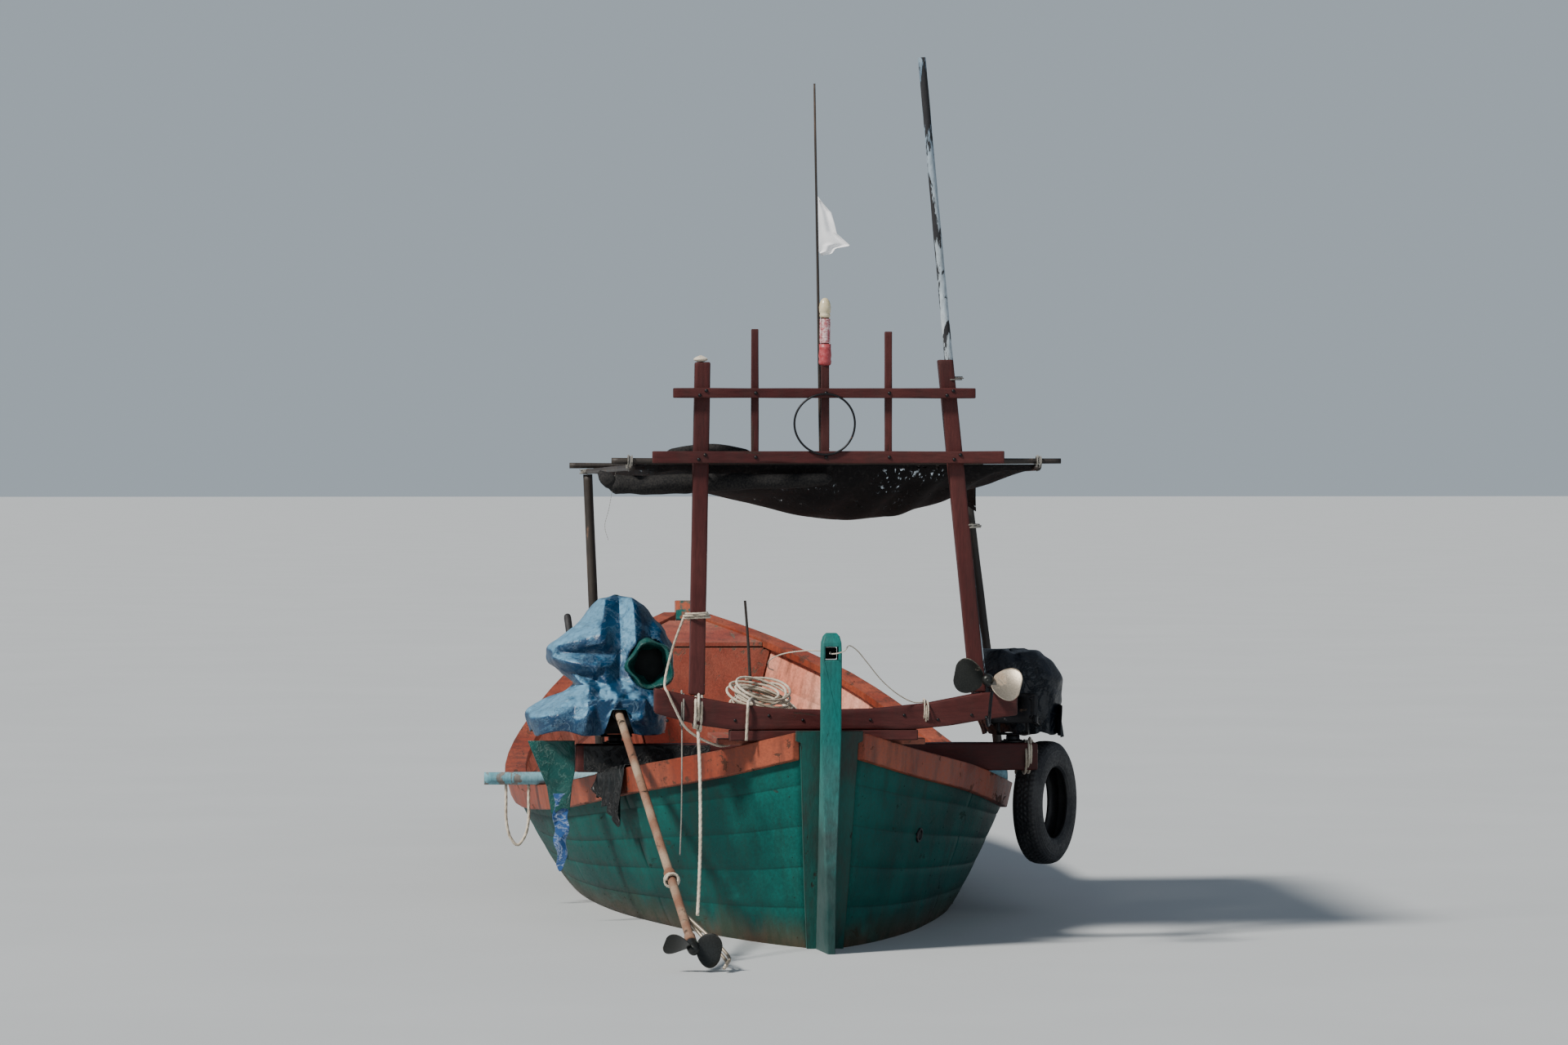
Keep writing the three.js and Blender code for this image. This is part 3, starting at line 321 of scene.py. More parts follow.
def sweep(path, radius, sides=10, strands=0, lay=0.1, end_scale=(1.0, 1.0)):
    """Points and faces of a closed tube along a path. With strands, the section swells over each strand, and
    the section turns once in each lay length as a laid rope does."""
    path = np.asarray(path, float)
    side, up = frames_along(path)
    along = running(path)
    angle = round_turn(sides)
    turned = angle[None, :] + (2 * np.pi * along / lay)[:, None] * (1 if strands else 0)
    size = radius * np.interp(along, [0, along[-1]], end_scale)[:, None]
    if strands:
        size = size * (0.84 + 0.16 * np.abs(np.cos(angle * strands / 2)))[None, :]
    rings = path[:, None] + size[..., None] * (
        np.cos(turned)[..., None] * side[:, None] + np.sin(turned)[..., None] * up[:, None])
    return rings.reshape(-1, 3), tube_faces(len(path), sides)


def round_tube(path, sides, radii):
    """A plain tube along a path: points, faces, each point's place on the middle line and its way out."""
    points, faces = sweep(path, 1.0, sides, end_scale=radii)
    mid = np.repeat(path, sides, axis=0)
    return points, faces, mid, points - mid


LAY = 6.5


def rope(name, points, diameter, material, body="hull", step=None):
    """A laid rope of three strands, which turn once in LAY diameters, along a smooth path through the
    points. Returns the object and the path."""
    path = smooth_path(points, step or diameter * 0.8)
    tube = sweep(path, diameter / 2, 12, 3, diameter * LAY)
    return make_object(name, *tube, material, body), path


def knot(name, centre, size, diameter, material, body="hull", turns=3, axis="z", seed=1):
    """A few tight turns of rope around a point, as a lashing or a knot."""
    rng = np.random.default_rng(seed)
    t = np.linspace(0, turns * 2 * np.pi, 24 * turns)
    wobble = 1 + 0.12 * np.sin(t * 1.7 + rng.uniform(0, 6))
    spread = (t / t[-1] - 0.5) * diameter * turns * 0.95
    a, b = size[0] / 2 * wobble * np.cos(t), size[1] / 2 * wobble * np.sin(t)
    order = {"z": (a, b, spread), "x": (spread, a, b), "y": (a, spread, b)}[axis]
    return rope(name, surface(*order) + np.asarray(centre), diameter, material, body)[0]


def grid_normals(grid, wrap=False):
    """The way out at each point of a grid: the cross product of the ways along its rows and columns."""
    du = np.gradient(grid, axis=0)
    dv = (np.roll(grid, -1, axis=1) - np.roll(grid, 1, axis=1)) / 2 if wrap else np.gradient(grid, axis=1)
    normal = np.cross(du, dv)
    return normal / np.maximum(np.linalg.norm(normal, axis=2, keepdims=True), 1e-9)


def two_faced(name, front, back, material, body="hull", marks=None, wrap=False):
    """A closed sheet between two equal grids of points. A mark is a pair of grids, for front and back."""
    rows, columns = front.shape[:2]
    count = rows * columns
    points = np.concatenate([front.reshape(-1, 3), back.reshape(-1, 3)])
    faces = grid_faces(rows, columns, wrap)
    under = [[b + count for b in f[::-1]] for f in faces]
    lines = [[(0, j) for j in range(columns)], [(rows - 1, j) for j in range(columns)][::-1]]
    if wrap:
        lines = [line + [line[0]] for line in lines]
    else:
        lines += [[(i, 0) for i in range(rows)][::-1], [(i, columns - 1) for i in range(rows)]]
    rim = []
    for line in lines:
        for (a, b), (c, d) in zip(line[:-1], line[1:]):
            p, q = a * columns + b, c * columns + d
            rim.append([q, p, p + count, q + count])
    faces = faces + under + rim
    both = {k: np.concatenate([np.ravel(v[0]), np.ravel(v[1])]) for k, v in (marks or {}).items()}
    both["back"] = np.repeat([0.0, 1.0], count)
    return make_object(name, points, faces, material, body, True, both)


def stand_in(obj, node):
    """Puts a finished piece in a CAD node's place: the node is hidden."""
    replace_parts(obj, node)


def shell(name, grid, thickness, material, body="hull", wrap=False):
    """A thin sheet from a grid of points, given its thickness along the points' normals."""
    half = grid_normals(grid, wrap) * thickness / 2
    return two_faced(name, grid + half, grid - half, material, body, wrap=wrap)


# ---------------------------------------------------------------- shader nodes


COLOUR, FLOAT, VECTOR = "NodeSocketColor", "NodeSocketFloat", "NodeSocketVector"


class Tree:
    """Adds nodes to a node tree with their settings and links in one call each."""

    def __init__(self, tree):
        self.tree = tree

    def add(self, kind, sockets=None, **settings):
        node = self.tree.nodes.new(kind)
        for key, value in settings.items():
            setattr(node, key, value)
        for key, value in (sockets or {}).items():
            self.set(node.inputs[key], value)
        return node

    def set(self, socket, value):
        """Links a socket to another, or gives it a value: for a colour its three parts."""
        if isinstance(value, bpy.types.NodeSocket):
            self.tree.links.new(value, socket)
        else:
            socket.default_value = (*value, 1.0) if socket.type == "RGBA" else value

    def math(self, operation, a, b=0.0, clamp=False):
        """One operation of arithmetic on two values. A clamped result stays between 0 and 1."""
        node = self.add("ShaderNodeMath", {0: a, 1: b}, operation=operation)
        node.use_clamp = clamp
        return node.outputs[0]

    def times(self, a, b, clamp=False):
        return self.math("MULTIPLY", a, b, clamp)

    def plus(self, a, b):
        return self.math("ADD", a, b)

    def minus(self, a, b):
        return self.math("SUBTRACT", a, b)

    def mix(self, factor, a, b, blend="MIX"):
        """Colour a, changed towards colour b by the factor."""
        node = self.tree.nodes.new("ShaderNodeMix")
        node.data_type = "RGBA"
        node.blend_type = blend
        self.set(node.inputs[0], factor)
        self.set(node.inputs[6], a)
        self.set(node.inputs[7], b)
        return node.outputs[2]

    def shaded(self, tone, shade):
        """The tone made darker or paler by a grey value."""
        grey = self.add("ShaderNodeCombineColor", {0: shade, 1: shade, 2: shade}).outputs[0]
        return self.mix(1.0, tone, grey, "MULTIPLY")

    def place(self):
        """Object coordinates, in which a pattern stays with its piece."""
        return self.add("ShaderNodeTexCoord").outputs["Object"]

    def noise(self, vector, scale, detail=4.0, rough=0.5, distort=0.0):
        sockets = {"Vector": vector, "Scale": scale, "Detail": detail, "Roughness": rough,
                   "Distortion": distort}
        return self.add("ShaderNodeTexNoise", sockets).outputs[0]

    def ramp(self, value, low, high, out_low=0.0, out_high=1.0):
        """A smooth step from one value to another while the first goes from low to high."""
        sockets = {"Value": value, "From Min": low, "From Max": high, "To Min": out_low, "To Max": out_high}
        node = self.add("ShaderNodeMapRange", sockets, interpolation_type="SMOOTHSTEP")
        return node.outputs[0]

    def stretch(self, vector, scale):
        """The place in which a pattern is read, multiplied axis by axis so that it stretches."""
        return self.add("ShaderNodeVectorMath", {0: vector, 1: scale}, operation="MULTIPLY").outputs[0]

    def bump(self, height, strength, distance):
        sockets = {"Height": height, "Strength": strength, "Distance": distance}
        return self.add("ShaderNodeBump", sockets).outputs[0]

    def facing(self, way):
        """How far the surface faces a way: the dot product of that way with its normal."""
        normal = self.add("ShaderNodeNewGeometry").outputs["Normal"]
        dot = self.add("ShaderNodeVectorMath", {0: way, 1: normal}, operation="DOT_PRODUCT")
        return dot.outputs["Value"]

    def attribute(self, name):
        """A number that the mesh keeps for each of its points."""
        return self.add("ShaderNodeAttribute", attribute_name=name).outputs["Fac"]

    def axes(self, vector):
        """The three coordinates of a vector, each on its own."""
        return self.add("ShaderNodeSeparateXYZ", {0: vector}).outputs


def new_group(name, inputs, outputs):
    """An empty shader node group. Returns the group, its builder, what it is given and what it puts out."""
    group = bpy.data.node_groups.new(name, "ShaderNodeTree")
    for label, kind, value in inputs:
        socket = group.interface.new_socket(label, in_out="INPUT", socket_type=kind)
        socket.default_value = (*value, 1.0) if kind == COLOUR else value
    for label, kind in outputs:
        group.interface.new_socket(label, in_out="OUTPUT", socket_type=kind)
    tree = Tree(group)
    entry = tree.add("NodeGroupInput")
    return group, tree, entry.outputs, tree.add("NodeGroupOutput").inputs


def weathered_group():
    """Old paint on wood: faded patches, flakes that show bare wood, dirt streaks and grain one way."""
    group, t, given, out = new_group("weathered_paint", [
        ("Paint", COLOUR, (0.5, 0.5, 0.5)), ("Faded", COLOUR, (0.6, 0.6, 0.6)),
        ("Bare", COLOUR, (0.3, 0.25, 0.2)), ("Dirt", COLOUR, (0.08, 0.06, 0.05)),
        ("Stretch", VECTOR, (1.0, 1.0, 1.0)), ("Wear", FLOAT, 0.4), ("Soil", FLOAT, 0.4),
    ], [("Colour", COLOUR), ("Roughness", FLOAT), ("Normal", VECTOR)])
    place = t.place()
    grained = t.stretch(place, given["Stretch"])
    grain = t.noise(grained, 42.0, 8.0, 0.62, 0.3)
    broad = t.noise(place, 1.7, 5.0, 0.55)
    patch = t.noise(grained, 6.0, 10.0, 0.66, 0.5)
    soil = t.noise(t.stretch(place, (5.0, 5.0, 1.3)), 2.2, 8.0, 0.62)
    edge = edge_mask(t, 0.007)
    limit = t.minus(0.72, t.times(given["Wear"], 0.25))
    flake = t.ramp(t.plus(patch, t.times(edge, 0.22)), limit, t.plus(limit, 0.035))
    tone = t.mix(t.ramp(broad, 0.35, 0.68), given["Paint"], given["Faded"])
    tone = t.mix(flake, tone, given["Bare"])
    tone = t.mix(t.times(t.ramp(soil, 0.42, 0.75), given["Soil"]), tone, given["Dirt"])
    shade = t.ramp(grain, 0.25, 0.8, 0.72, 1.12)
    tone = t.shaded(tone, shade)
    t.set(out["Colour"], tone)
    t.set(out["Roughness"], t.ramp(t.plus(grain, flake), 0.2, 1.4, 0.5, 0.92))
    height = t.minus(t.times(grain, 0.5), t.times(flake, 0.35))
    t.set(out["Normal"], t.bump(height, 0.55, 0.004))
    return group


def edge_mask(t, radius):
    """Bright along edges: how far the rounded normal turns from the plain one."""
    rounded = t.add("ShaderNodeBevel", {"Radius": radius}, samples=4).outputs[0]
    return t.ramp(t.facing(rounded), 0.995, 0.9)


# Way towards the key light: woven faces turned to it get a painted highlight.
SUN_HIGHLIGHT_WAY = (-0.35, 0.6, 0.72)


def woven_group():
    """Woven plastic sheet: fine threads both ways, folds that rub pale, dust, and a painted highlight on
    faces towards the key light.
    """
    group, t, given, out = new_group("woven_sheet", [
        ("Tint", COLOUR, (0.1, 0.3, 0.6)), ("Rubbed And Highlight", COLOUR, (0.4, 0.55, 0.75)),
        ("Dust", COLOUR, (0.2, 0.2, 0.2)), ("Threads", FLOAT, 320.0), ("Crease", FLOAT, 0.5),
        ("Painted Highlight", FLOAT, 0.0),
    ], [("Colour", COLOUR), ("Roughness", FLOAT), ("Normal", VECTOR)])
    place = t.place()
    axes = t.axes(place)
    warp = t.math("SINE", t.times(t.plus(axes[1], axes[0]), given["Threads"]))
    weft = t.math("SINE", t.times(t.minus(axes[2], axes[0]), given["Threads"]))
    weave = t.times(warp, weft)
    fine = t.noise(place, 9.0, 9.0, 0.68, 1.1)
    veins = t.math("ABSOLUTE", t.minus(fine, 0.5))
    crease = t.ramp(veins, 0.035, 0.0)
    small = t.noise(place, 34.0, 6.0, 0.6, 0.8)
    broad = t.noise(place, 3.0, 5.0, 0.6)
    specks = t.times(t.ramp(small, 0.55, 0.75), 0.5)
    rub = t.times(t.plus(crease, specks), given["Crease"], clamp=True)
    tone = t.mix(rub, given["Tint"], given["Rubbed And Highlight"])
    tone = t.mix(t.ramp(broad, 0.48, 0.74, 0.0, 0.7), tone, given["Dust"])
    # Painted highlight: faces turned towards the key light are mixed towards the pale rubbed colour.
    painted_highlight = t.ramp(t.plus(t.facing(SUN_HIGHLIGHT_WAY), t.times(small, 0.5)), 0.98, 1.28)
    tone = t.mix(t.times(painted_highlight, given["Painted Highlight"]), tone, given["Rubbed And Highlight"])
    t.set(out["Colour"], tone)
    t.set(out["Roughness"], t.ramp(small, 0.2, 0.8, 0.26, 0.5))
    height = t.plus(t.times(weave, 0.04), t.plus(t.times(crease, 0.45),
                    t.times(fine, 0.8)))
    t.set(out["Normal"], t.bump(height, 0.6, 0.012))
    return group


def metal_group():
    """Old steel: rust blooms over a dull coat, pits and oily smears."""
    group, t, given, out = new_group("old_metal", [
        ("Coat", COLOUR, (0.2, 0.2, 0.2)), ("Rust", COLOUR, (0.3, 0.12, 0.05)),
        ("Pale", COLOUR, (0.5, 0.42, 0.33)), ("Amount", FLOAT, 0.5),
    ], [("Colour", COLOUR), ("Metallic", FLOAT), ("Roughness", FLOAT), ("Normal", VECTOR)])
    place = t.place()
    bloom = t.noise(place, 14.0, 10.0, 0.7, 0.6)
    pits = t.noise(place, 160.0, 4.0, 0.6)
    broad = t.noise(place, 4.0, 4.0, 0.5)
    edge = edge_mask(t, 0.004)
    level = t.minus(0.8, t.times(given["Amount"], 0.55))
    rust = t.ramp(t.plus(bloom, t.times(edge, 0.12)), level, t.plus(level, 0.12))
    tone = t.mix(t.ramp(broad, 0.4, 0.65), given["Rust"], given["Pale"])
    tone = t.mix(rust, given["Coat"], tone)
    shade = t.ramp(pits, 0.3, 0.7, 0.75, 1.1)
    tone = t.shaded(tone, shade)
    t.set(out["Colour"], tone)
    t.set(out["Metallic"], t.ramp(rust, 0.0, 1.0, 0.75, 0.05))
    t.set(out["Roughness"], t.ramp(rust, 0.0, 1.0, 0.42, 0.85))
    height = t.plus(t.times(rust, 0.6), t.times(pits, 0.4))
    t.set(out["Normal"], t.bump(height, 0.4, 0.002))
    return group


GROUPS = {}


def group(name):
    """The shared node group of that name, made once."""
    if name not in GROUPS:
        GROUPS[name] = {"weathered": weathered_group, "woven": woven_group, "metal": metal_group}[name]()
    return GROUPS[name]


def new_material(name, **values):
    """A material with one principled shader. Returns the material, its builder and the shader. Values are
    for the shader's own sockets, with a low line for a space."""
    material = bpy.data.materials.new(name)
    material.use_nodes = True
    material.node_tree.nodes.clear()
    t = Tree(material.node_tree)
    sockets = {key.replace("_", " "): value for key, value in values.items()}
    shader = t.add("ShaderNodeBsdfPrincipled", sockets)
    output = t.add("ShaderNodeOutputMaterial")
    t.set(output.inputs["Surface"], shader.outputs[0])
    return material, t, shader


def add_effect(t, shader, name, values):
    """Adds a shared group with its values and leads what it puts out to the shader. Returns its outputs."""
    node = t.add("ShaderNodeGroup", node_tree=group(name))
    for key, value in values.items():
        t.set(node.inputs[key], value)
    for output in node.outputs:
        t.set(shader.inputs[{"Colour": "Base Color"}.get(output.name, output.name)], output)
    return node.outputs


def painted(name, paint, faded, bare, dirt, stretch, wear=0.4, soil=0.4, specular=0.35):
    """Weathered paint on wood, with the grain drawn out along the short side of stretch."""
    material, t, shader = new_material(name, Specular_IOR_Level=specular)
    add_effect(t, shader, "weathered", {"Paint": paint, "Faded": faded, "Bare": bare, "Dirt": dirt,
                                        "Stretch": stretch, "Wear": wear, "Soil": soil})
    return material


def woven(name, tint, rubbed, dust, back=None, crease=0.5, bleach_and_highlight=0.0):
    """Woven sheet; back is the colour of its other face, read from the sheet's own mark. The last value sets
    a painted highlight on faces towards the key light.
    """
    material, t, shader = new_material(name, Specular_IOR_Level=0.45)
    face = tint if back is None else t.mix(t.attribute("back"), tint, back)
    add_effect(t, shader, "woven", {"Tint": face, "Rubbed And Highlight": rubbed, "Dust": dust, "Crease": crease,
                                    "Painted Highlight": bleach_and_highlight})
    return material


def metal(name, coat, rust, pale, amount):
    """Old metal: a dull coat that gives way to two tones of rust, by the amount."""
    material, t, shader = new_material(name)
    add_effect(t, shader, "metal", {"Coat": coat, "Rust": rust, "Pale": pale, "Amount": amount})
    return material


def rope_material(name, pale, dark):
    """Laid rope: pale fibres, soiled stretches and fine threads."""
    material, t, shader = new_material(name, Roughness=0.85, Sheen_Weight=0.35)
    place = t.place()
    threads = t.noise(place, 260.0, 3.0, 0.6)
    soil = t.noise(place, 7.0, 6.0, 0.65)
    tone = t.mix(t.ramp(soil, 0.38, 0.7), pale, dark)
    shade = t.ramp(threads, 0.3, 0.7, 0.7, 1.1)
    tone = t.shaded(tone, shade)
    t.set(shader.inputs["Base Color"], tone)
    t.set(shader.inputs["Normal"], t.bump(threads, 0.5, 0.002))
    return material


# Salmon paint of the boat's inside: fresh, faded and worn through
SALMON = ((0.68, 0.235, 0.15), (0.8, 0.4, 0.29), (0.42, 0.2, 0.14))


def hull_material():
    """Hull planks: turquoise outside with seams, fading, brown water stain and drips; salmon inside."""
    material, t, shader = new_material("hull_paint", Specular_IOR_Level=0.1)
    place = t.place()
    seam, plank, inside = t.attribute("seam"), t.attribute("plank"), t.attribute("inside")
    outside = t.minus(1.0, inside)
    outer = t.mix(t.times(plank, 0.6), (0.0004, 0.034, 0.031), (0.0006, 0.05, 0.044))
    paint = t.mix(inside, outer, SALMON[0])
    faded = t.mix(inside, (0.0015, 0.088, 0.075), SALMON[1])
    bare = t.mix(inside, (0.02, 0.045, 0.038), SALMON[2])
    worn = add_effect(t, shader, "weathered", {
        "Paint": paint, "Faded": faded, "Bare": bare, "Dirt": (0.012, 0.028, 0.022),
        "Stretch": (0.35, 2.2, 1.6), "Wear": 0.34, "Soil": 0.6,
    })
    ragged = t.noise(t.stretch(place, (2.0, 2.0, 0.6)), 3.0, 8.0, 0.65)
    height = t.plus(t.axes(place)[2], t.times(t.minus(ragged, 0.5), -0.32))
    stain = t.times(t.ramp(height, 0.17, -0.02), outside)
    scum = t.mix(t.ramp(ragged, 0.35, 0.6), (0.11, 0.055, 0.03), (0.035, 0.035, 0.02))
    tone = t.mix(t.times(stain, 0.85), worn["Colour"], scum)
    rubbed = t.ramp(t.noise(t.stretch(place, (0.5, 2.0, 2.0)), 2.4, 5.0, 0.6), 0.6, 0.78, 0.0, 0.45)
    tone = t.mix(t.times(rubbed, outside), tone, (0.008, 0.165, 0.14))
    drips = t.ramp(t.noise(t.stretch(place, (9.0, 9.0, 0.35)), 2.0, 6.0, 0.6), 0.6, 0.75, 0.0, 0.4)
    tone = t.mix(drips, tone, (0.018, 0.026, 0.02))
    broken = t.ramp(t.noise(place, 2.6, 4.0, 0.6), 0.3, 0.7, 0.35, 1.0)
    tone = t.mix(t.times(t.times(seam, broken), 0.5), tone, (0.003, 0.012, 0.011))
    t.set(shader.inputs["Base Color"], tone)
    return material


def net_material():
    """Knitted shade net: fine open mesh with worn holes that let light through."""
    material, t, shader = new_material("shade_net", Roughness=0.9, Specular_IOR_Level=0.15)
    place = t.place()
    axes = t.axes(place)
    rows = t.math("SINE", t.times(axes[0], 900.0))
    wales = t.math("SINE", t.times(axes[1], 900.0))
    mesh = t.ramp(t.times(rows, wales), 0.3, 0.6)
    worn = t.noise(t.stretch(place, (1.0, 1.6, 0.6)), 34.0, 4.0, 0.62, 0.8)
    area = t.noise(place, 2.6, 4.0, 0.55)
    band = t.ramp(t.math("ABSOLUTE", t.plus(axes[1], 0.36)), 0.12, 0.05)
    flecks = t.times(t.ramp(worn, 0.575, 0.605), t.math("MAXIMUM", t.ramp(area, 0.48, 0.58), band))
    through = t.math("MAXIMUM", t.times(mesh, 0.05), t.times(flecks, 0.95))
    tone = t.mix(t.ramp(area, 0.35, 0.7), (0.006, 0.006, 0.007), (0.013, 0.012, 0.012))
    tone = t.mix(t.ramp(worn, 0.5, 0.7, 0.0, 0.4), tone, (0.04, 0.038, 0.036))
    t.set(shader.inputs["Base Color"], tone)
    t.set(shader.inputs["Alpha"], t.minus(1.0, through))
    t.set(shader.inputs["Normal"], t.bump(t.plus(mesh, worn), 0.5, 0.003))
    return material


def rubber_material():
    """Worn tyre rubber: dusty, with fine cracks."""
    material, t, shader = new_material("tyre_rubber")
    place = t.place()
    fine = t.noise(place, 90.0, 8.0, 0.65)
    dust = t.noise(place, 6.0, 6.0, 0.62)
    salt = t.ramp(t.noise(place, 40.0, 4.0, 0.6), 0.62, 0.74, 0.0, 0.35)
    tone = t.mix(t.ramp(dust, 0.42, 0.75), (0.008, 0.008, 0.01), (0.035, 0.034, 0.034))
    tone = t.mix(salt, tone, (0.11, 0.11, 0.11))
    t.set(shader.inputs["Base Color"], tone)
    t.set(shader.inputs["Roughness"], t.ramp(fine, 0.3, 0.7, 0.45, 0.75))
    t.set(shader.inputs["Normal"], t.bump(fine, 0.4, 0.002))
    return material


def pole_material(name, base, second, under, low, high, wear=0.75, bleach_and_highlight=0.25):
    """Peeling painted pole: one paint below a height and another above it, flakes of both over bare wood."""
    material, t, shader = new_material(name, Specular_IOR_Level=0.2)
    place = t.place()
    level = t.ramp(t.plus(t.axes(place)[2], t.noise(place, 9.0, 5.0, 0.6)), low + 0.5, high + 0.5)
    paint = t.mix(level, base, second)
    add_effect(t, shader, "weathered", {
        "Paint": paint, "Faded": t.mix(bleach_and_highlight, paint, (0.8, 0.85, 0.85)), "Bare": under,
        "Dirt": (0.05, 0.05, 0.05), "Stretch": (2.5, 2.5, 0.7), "Wear": wear, "Soil": 0.3,
    })
    return material


def plain(name, tone, other, roughness, scale=20.0, specular=0.5, transmission=0.0):
    """A simple surface of two tones with fine unevenness."""
    material, t, shader = new_material(name, Roughness=roughness, Specular_IOR_Level=specular,
                                       Transmission_Weight=transmission)
    uneven = t.noise(t.place(), scale, 6.0, 0.6)
    t.set(shader.inputs["Base Color"], t.mix(t.ramp(uneven, 0.35, 0.7), tone, other))
    t.set(shader.inputs["Normal"], t.bump(uneven, 0.25, 0.002))
    return material


MATERIALS = {}


def make_materials():
    """All materials of the boat, by short name."""
    wood = (0.16, 0.1, 0.07)
    dirt = (0.035, 0.022, 0.018)
    red = ((0.05, 0.0075, 0.0075), (0.078, 0.018, 0.016), (0.04, 0.02, 0.016), dirt)
    dark = ((0.02, 0.016, 0.014), (0.042, 0.034, 0.028), wood, dirt)
    MATERIALS.update({
        "hull": hull_material(),
        "keel": painted("keel_paint", (0.002, 0.075, 0.065), (0.006, 0.13, 0.11), (0.035, 0.035, 0.025),
                        dirt, (0.4, 2.0, 2.0), 0.5, 0.6),
        "transom": painted("transom_paint", (0.001, 0.05, 0.042), (0.003, 0.085, 0.07),
                           (0.02, 0.026, 0.02), dirt, (2.0, 2.0, 0.5), 0.4, 0.75),
        # The post's colour is much darker towards the bottom than at the top.
        "post": pole_material("post_paint", (0.0005, 0.038, 0.034), (0.001, 0.145, 0.13),
                              (0.002, 0.05, 0.045), 0.3, 0.95, 0.2, 0.06),
        "stem": pole_material("stem_paint", (0.002, 0.11, 0.095), (0.4, 0.1, 0.05), (0.03, 0.03, 0.025),
                              1.15, 1.25, 0.25),
        "cap": painted("cap_paint", (0.22, 0.034, 0.013), (0.32, 0.072, 0.033), (0.1, 0.035, 0.02),
                       (0.045, 0.02, 0.013), (0.35, 2.0, 2.0), 0.5, 0.7),
        "inside": painted("inside_paint", *SALMON, (0.12, 0.06, 0.045), (0.35, 2.0, 2.0), 0.3, 0.35),
        "deck": painted("deck_paint", (0.26, 0.05, 0.03), (0.34, 0.11, 0.07), wood, dirt, (0.4, 2.5, 2.0),
                        0.5, 0.5),
        "red_across": painted("red_wood_across", *red, (2.2, 0.35, 2.2), 0.3, 0.4, 0.25),
        "red_upright": painted("red_wood_upright", *red, (2.4, 2.4, 0.35), 0.3, 0.35, 0.25),
        "dark_upright": painted("dark_wood_upright", *dark, (2.4, 2.4, 0.4), 0.4, 0.3),
        "dark_along": painted("dark_wood_along", *dark, (0.4, 2.4, 2.4), 0.4, 0.3),
        "side_pole": pole_material("side_pole_paint", (0.09, 0.27, 0.33), (0.18, 0.42, 0.5),
                                   (0.22, 0.2, 0.18), 0.3, 0.9),
        "long_pole": pole_material("long_pole_paint", (0.4, 0.47, 0.52), (0.1, 0.17, 0.24),
                                   (0.03, 0.03, 0.033), 2.6, 3.9, 0.95),
        "steel": metal("dark_steel", (0.02, 0.02, 0.022), (0.14, 0.06, 0.03), (0.2, 0.12, 0.07), 0.35),
        "rusty": metal("rusty_tube", (0.09, 0.065, 0.045), (0.19, 0.085, 0.048), (0.31, 0.22, 0.15), 0.85),
        "blade": metal("blade_metal", (0.03, 0.032, 0.03), (0.05, 0.045, 0.035), (0.14, 0.12, 0.09), 0.4),
        # Pale copy of the blade metal: the sunlit blade of the starboard propeller, and the port skegs.
        "pale_blade": metal("pale_blade_metal", (0.42, 0.36, 0.28), (0.3, 0.22, 0.15), (0.55, 0.47, 0.38),
                            0.5),
        # The blue tarp has a strong painted highlight on its faces towards the key light.
        "tarp": woven("blue_tarp", (0.001, 0.036, 0.094), (0.16, 0.37, 0.54), (0.0006, 0.013, 0.038),
                      (0.003, 0.07, 0.06), crease=0.22, bleach_and_highlight=0.8),
        "green": woven("green_tarp", (0.0015, 0.062, 0.055), (0.008, 0.13, 0.11), (0.002, 0.03, 0.028),
                       (0.012, 0.1, 0.25)),
        "speckled": woven("speckled_tarp", (0.02, 0.085, 0.25), (0.25, 0.34, 0.52), (0.012, 0.04, 0.1),
                          crease=0.9),
        "navy": woven("navy_cover", (0.0015, 0.0045, 0.01), (0.007, 0.014, 0.023), (0.003, 0.006, 0.01),
                      crease=0.3),
        # Black cloth, used also for sheets that stand for the shade under the port tarp.
        "black": woven("black_cloth_and_shade", (0.0015, 0.002, 0.0022), (0.008, 0.009, 0.01), (0.004, 0.004, 0.004)),
        "net": net_material(),
        "rubber": rubber_material(),
        "rope": rope_material("white_rope", (0.66, 0.58, 0.46), (0.34, 0.27, 0.19)),
        "grey_rope": rope_material("grey_rope", (0.22, 0.21, 0.18), (0.1, 0.09, 0.08)),
        "flag": plain("flag_cloth", (0.92, 0.92, 0.93), (0.84, 0.84, 0.85), 0.75, 12.0, 0.3),
        "tape": plain("wrapped_tape", (0.3, 0.03, 0.035), (0.42, 0.09, 0.1), 0.45, 60.0),
        # Red tape mottled with pale pink, partly pale tape and partly painted highlight.
        "tape_pale": plain("pale_tape", (0.42, 0.1, 0.12), (0.7, 0.55, 0.54), 0.4, 70.0),
        "net_roll": plain("rolled_net", (0.01, 0.01, 0.011), (0.03, 0.028, 0.026), 0.9, 120.0, 0.2),
        "inside_floor": painted("floor_paint", (0.45, 0.17, 0.12), (0.56, 0.28, 0.2), wood, dirt,
                                (0.35, 2.4, 2.0), 0.55, 0.6),
        "lamp": plain("lamp_cover", (0.72, 0.6, 0.36), (0.8, 0.72, 0.52), 0.25, 30.0, 0.5, 0.25),
        "engine": metal("engine_paint", (0.03, 0.032, 0.035), (0.09, 0.05, 0.03), (0.14, 0.1, 0.07), 0.3),
        # Black for painted shade in holes and mouths.
        "dark": plain("shade_black", (0.004, 0.006, 0.006), (0.01, 0.012, 0.012), 0.8),
        "floor": plain("studio_floor", (0.47, 0.49, 0.5), (0.49, 0.51, 0.52), 0.6, 0.5, 0.3),
    })


# CAD nodes that stay as they are, with their material
CARRIED = {
    "keel": "keel", "bow_stem": "stem", "transom": "transom", "stern_post": "post", "gunwale_port": "cap",
    "gunwale_starboard": "cap", "frames_port": "inside", "frames_starboard": "inside",
    "floor_timbers": "inside", "thwart_aft": "inside", "thwart_fore": "inside", "fore_deck": "deck",
    "fore_bulkhead": "deck", "stern_deck": "deck", "yoke_chock": "red_across",
}


# ---------------------------------------------------------------- hull


